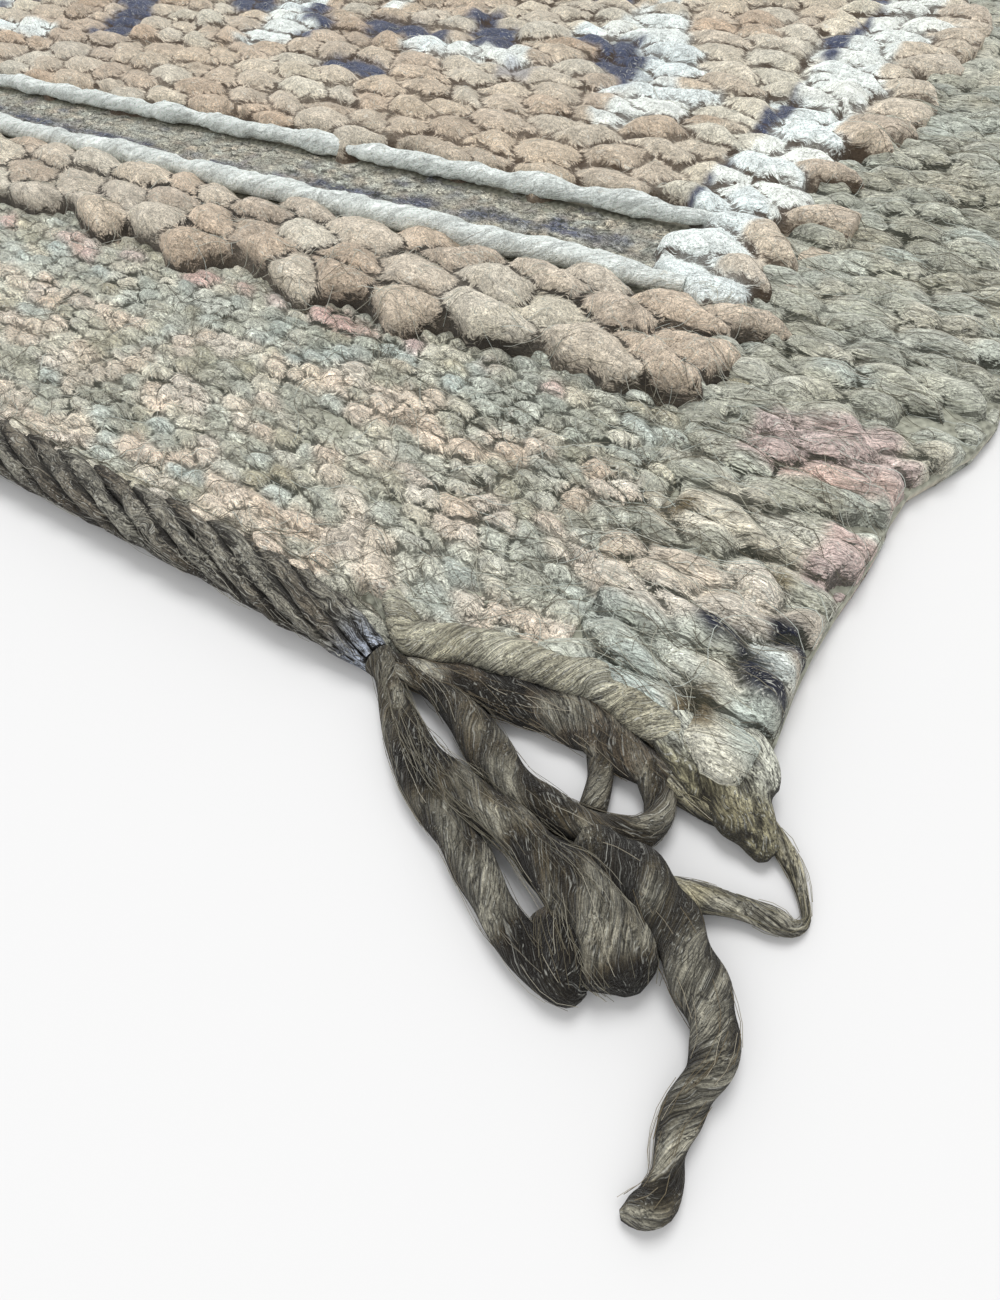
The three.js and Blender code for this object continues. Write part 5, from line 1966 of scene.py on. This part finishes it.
def felted_piece(name, tree, sheet, stitches, felt, look):
    """Lets a sheet down on planned stitches. The sheet is its places across and along, its foot,
    and, for a selvedge, the rounding of its edge."""
    plan = add_object(name + "_places", stitches_mesh(name + "_stitches", stitches))
    values = {
        "Places": plan,
        "Shapes": BED_PILLOWS,
        "Low": felt.low * MM,
        "Low tint": opaque(felt.low_tint),
        "Wander": felt.wander * MM,
        "Wander size": felt.wander_size * MM,
        "Soften": felt.soften,
        "Around": felt.around,
        "Bleed": felt.bleed,
        **look,
    }
    piece = make_piece(name, sheet_mesh(name + "_sheet", *sheet), tree, values)
    bpy.data.objects.remove(plan)
    return piece


def yarn_piece(name, yarns, sides, twist, look):
    """Planned yarns as round ones with so many sides. Twist is how far their fibres turn round
    them, in radians a metre."""
    values = {"Sides": sides, "Twist": twist, **look}
    return make_piece(name, yarns_mesh(name + "_lines", yarns), YARN_TREE, values)


def inset(margin, fine, coarse, calm):
    """Places across the rug, up to a margin from each side."""
    return graded(margin, CLOTH_WIDTH - margin, fine, coarse, calm)


# Where the sheets start and stop, as margins from the sides and laps under the bands beside.
PILE_SIDE = 40
PILE_LAP = 4
ROWS_SIDE = 34
ROWS_START = FLAT_END - 9
ROWS_STOP = LOWER_WEFT_START + 7
FLAT_START = -4
FLAT_STOP = 97
BAND_LAP = 4
SELVEDGE_STOP = 57
SELVEDGE_FOOT = 1.0
SELVEDGE_ROUND = 9

# The seen part of the right selvedge has the finer places along.
FINE_STOP = 300
FINE_GAP = 2

ground = plain_piece("ground_cloth", ground_mesh("ground_cloth"), GROUND_WOOL)

knots = pile_rows() + side_columns()
pile_felt = Felt(10.5, DEEP_TAN, 2.0, 8, 2, 30, 1)
pile_lumps = lumps(0.5, 5, 0.25, 1.8, PILE_WOOL)
pile_front = felted_piece(
    "pile_front_half", PILE_TREE,
    (
        inset(PILE_SIDE, 0.95, 2.5, 300),
        graded(LOWER_WEFT_START - PILE_LAP, CLOTH_LENGTH / 2, 1.0, 1.8, 220), 3.0,
    ),
    knots, pile_felt, pile_lumps,
)
pile_back = felted_piece(
    "pile_back_half", PILE_TREE,
    (
        inset(PILE_SIDE, 2.8, 2.8, 300),
        graded(CLOTH_LENGTH / 2, CLOTH_LENGTH - LOWER_WEFT_START + PILE_LAP, 2.7, 2.7, 200), 3.0,
    ),
    knots, pile_felt._replace(soften=0, around=12, bleed=0), pile_lumps,
)
puffs = front_rows()
puff_felt = Felt(9.5, TAN, 2.0, 8, 4, 20, 1)
puff_lumps = lumps(0.7, 5, 0.3, 2.0, PUFF_WOOL)
puff_pieces = [
    felted_piece(
        "pile_front_rows", FRONT_TREE,
        (inset(ROWS_SIDE, 0.7, 2.2, 300), graded(ROWS_START, ROWS_STOP, 0.7, 0.9, 60), 2.0),
        puffs, puff_felt, puff_lumps,
    ),
    felted_piece(
        "pile_back_rows", BACK_TREE,
        (
            inset(ROWS_SIDE, 2.4, 2.4, 300),
            graded(CLOTH_LENGTH - ROWS_STOP, CLOTH_LENGTH - ROWS_START, 2.2, 2.2, 60), 2.0,
        ),
        puffs, puff_felt._replace(soften=0, around=8, bleed=0), puff_lumps,
    ),
]
flat_felt = Felt(6.4, SAGE, 1.9, 6, 1, 24, 2)
flat_lumps = lumps(0.2, 3.5, 0.08, 1.3, FLAT_WOOL)
flat_front = felted_piece(
    "flatweave_front", FLAT_TREE,
    (inset(PILE_SIDE, 0.65, 1.9, 260), graded(FLAT_START, FLAT_STOP, 0.7, 0.8, 90), 2.0),
    flatweave(0, random.Random(3)), flat_felt, flat_lumps,
)
flat_back = felted_piece(
    "flatweave_back", FLAT_TREE,
    (
        inset(PILE_SIDE, 1.7, 1.7, 90),
        graded(CLOTH_LENGTH - FLAT_STOP, CLOTH_LENGTH - FLAT_START, 1.6, 1.6, 90), 2.0,
    ),
    flatweave(1, random.Random(4)), flat_felt._replace(soften=0, around=12), flat_lumps,
)
selvedge_felt = Felt(1.5, DARK_SAGE, 1.8, 9, 1, 16, 2)
selvedge_lumps = lumps(0.3, 5, 0.1, 1.6, SELVEDGE_WOOL)
selvedge_right = felted_piece(
    "selvedge_right", EDGE_TREE,
    (
        graded(0, SELVEDGE_STOP, 0.4, 0.9, 8),
        graded(0, FINE_STOP, 0.8, 1.2, 250) + graded(FINE_STOP + FINE_GAP, CLOTH_LENGTH, 2.0, 2.6, 60),
        SELVEDGE_FOOT, SELVEDGE_ROUND,
    ),
    selvedge(True), selvedge_felt, selvedge_lumps,
)
selvedge_left = felted_piece(
    "selvedge_left", EDGE_TREE,
    (
        [CLOTH_WIDTH - across for across in reversed(graded(0, SELVEDGE_STOP, 0.8, 2.2, 20))],
        graded(0, CLOTH_LENGTH, 2.4, 2.4, 60), SELVEDGE_FOOT, SELVEDGE_ROUND,
    ),
    selvedge(False), selvedge_felt._replace(soften=0, around=6, bleed=0), selvedge_lumps,
)
wefts = yarn_piece("white_wefts", white_wefts(), 14, 160.0, lumps(1.1, 7, 0.6, 2.6, WEFT_WOOL))
band_felt = Felt(5.2, DARK_SAGE, 1.1, 4, 1, 12, 1)
band_lumps = lumps(0.25, 2.5, 0.12, 1.2, BAND_WOOL)
band_pieces = []
for end, fine in ((0, 0.85), (1, 1.9)):
    start = (CLOTH_LENGTH - BAND_START - FLAT_BAND if end else BAND_START) - BAND_LAP
    alongs = graded(start, start + FLAT_BAND + 2 * BAND_LAP, fine, fine, 50)
    acrosses = inset(BAND_RECESS - BAND_OVERLAP, fine, fine * 1.7, 250)
    label = "flat_band_back" if end else "flat_band_front"
    band_pieces.append(
        felted_piece(label, BAND_TREE, (acrosses, alongs, 2.0), flat_band(end), band_felt, band_lumps)
    )
flap = make_piece(
    "corner_flap", stitches_mesh("corner_flap_plan", corner_flap()), LUMP_TREE,
    {
        "Shapes": BED_PILLOWS, "Grain": 0.55 * MM, "Lay": math.radians(40),
        "Soften": 4, "Around": 16, "Bleed": 20, **lumps(0.5, 4, 0.3, 1.6, ROLL_WOOL),
    },
)
roll = yarn_piece("front_hem_roll", hem_roll(), 20, 330.0, lumps(0.8, 8, 0.3, 2.6, ROLL_WOOL))
cord_lumps = lumps(0.9, 6, 0.4, 1.8, CORD_WOOL)
front_cord = yarn_piece("front_hem_cord_yarns", hem_cord(CORD_FRONT, False), 10, 60.0, cord_lumps)
back_cord = yarn_piece("back_hem_cord_yarns", hem_cord(CORD_BACK, True), 7, 60.0, cord_lumps)
strands = plain_piece(
    "loose_warp_strands", rings_mesh("loose_warp_strands", loose_strands()), STRAND_WOOL
)
hairs = yarn_piece("stray_hairs", strand_hairs(), 3, 0.0, lumps(0, 9, 0, 3, STRAY_HAIR))

wool_bed = bpy.data.collections.new("wool_bed")
for piece in [pile_front, puff_pieces[0], flat_front, selvedge_right, band_pieces[0]]:
    wool_bed.objects.link(piece)
fluff_pieces = []
for label, fluffs, seed in (
    ("flatweave_hairs", FLAT_FLUFF, 92),
    ("selvedge_hairs", SELVEDGE_FLUFF, 93),
    ("pile_hairs", PILE_FLUFF, 94),
):
    plan = yarns_mesh(label + "_lines", cloth_hairs(fluffs, seed))
    fluff_pieces.append(make_piece(label, plan, HAIR_TREE, {"Bed": wool_bed, "Wool": STRAY_HAIR}))
bpy.data.collections.remove(wool_bed)

cloth_parts = [
    pile_front, pile_back, *puff_pieces, flat_front, flat_back, selvedge_right, selvedge_left,
    wefts, *band_pieces, roll, flap, *fluff_pieces,
]
for piece in [ground, *cloth_parts, front_cord, back_cord, strands, hairs]:
    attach(piece, "root")
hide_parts("woven_cloth")
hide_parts("front_hem_cord")
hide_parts("back_hem_cord")
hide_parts("loose_warp_ends")

# Floor, light and camera.
FLOOR_HALF = 6.0
FLOOR_GREY = 0.715
WORLD_STRENGTH = 0.74
floor_points = [(x * FLOOR_HALF, y * FLOOR_HALF, 0) for x, y in ((-1, -1), (1, -1), (1, 1), (-1, 1))]
floor_mesh = new_mesh("floor", floor_points, [], [(0, 1, 2, 3)])
floor_finish, _, floor_shader = new_finish("pale_floor", 1.0, 0.0)
floor_shader.inputs["Base Color"].default_value = (FLOOR_GREY, FLOOR_GREY, FLOOR_GREY, 1)
floor_mesh.materials.append(floor_finish)
floor = add_object("floor", floor_mesh)

scene = bpy.context.scene
scene.view_settings.view_transform = "Standard"
world = bpy.data.worlds.new("studio")
world.use_nodes = True
world.node_tree.nodes["Background"].inputs["Color"].default_value = (1.0, 1.0, 1.0, 1)
world.node_tree.nodes["Background"].inputs["Strength"].default_value = WORLD_STRENGTH
scene.world = world


def add_light(name, energy, angle, tilt):
    """A broad light that shines down, tilted about X, Y and Z; its angle is in degrees."""
    light = bpy.data.lights.new(name, "SUN")
    light.energy = energy
    light.angle = math.radians(angle)
    add_object(name, light).rotation_euler = degrees(*tilt)


add_light("overhead_light", 1.7, 28, (-24, -14, 0))
add_light("front_fill", 0.55, 60, (48, -12, 0))

CAMERA_PLACE = (0.31045, -0.51556, 0.118)
CAMERA_RIGHT = Vector((0.84535, 0.52997, -0.06713))
CAMERA_UP = Vector((-0.39396, 0.70335, 0.59169))
CAMERA_BACK = Vector((0.36080, -0.47374, 0.80336))
camera_data = bpy.data.cameras.new("camera")
camera_data.sensor_fit = "VERTICAL"
camera_data.sensor_height = 36.0
camera_data.lens = 20.785
camera_data.clip_start = 0.005
camera_data.clip_end = 20
camera = add_object("camera", camera_data)
turn = Matrix((CAMERA_RIGHT, CAMERA_UP, CAMERA_BACK)).transposed()
camera.matrix_world = Matrix.Translation(CAMERA_PLACE) @ turn.to_4x4()
scene.camera = camera
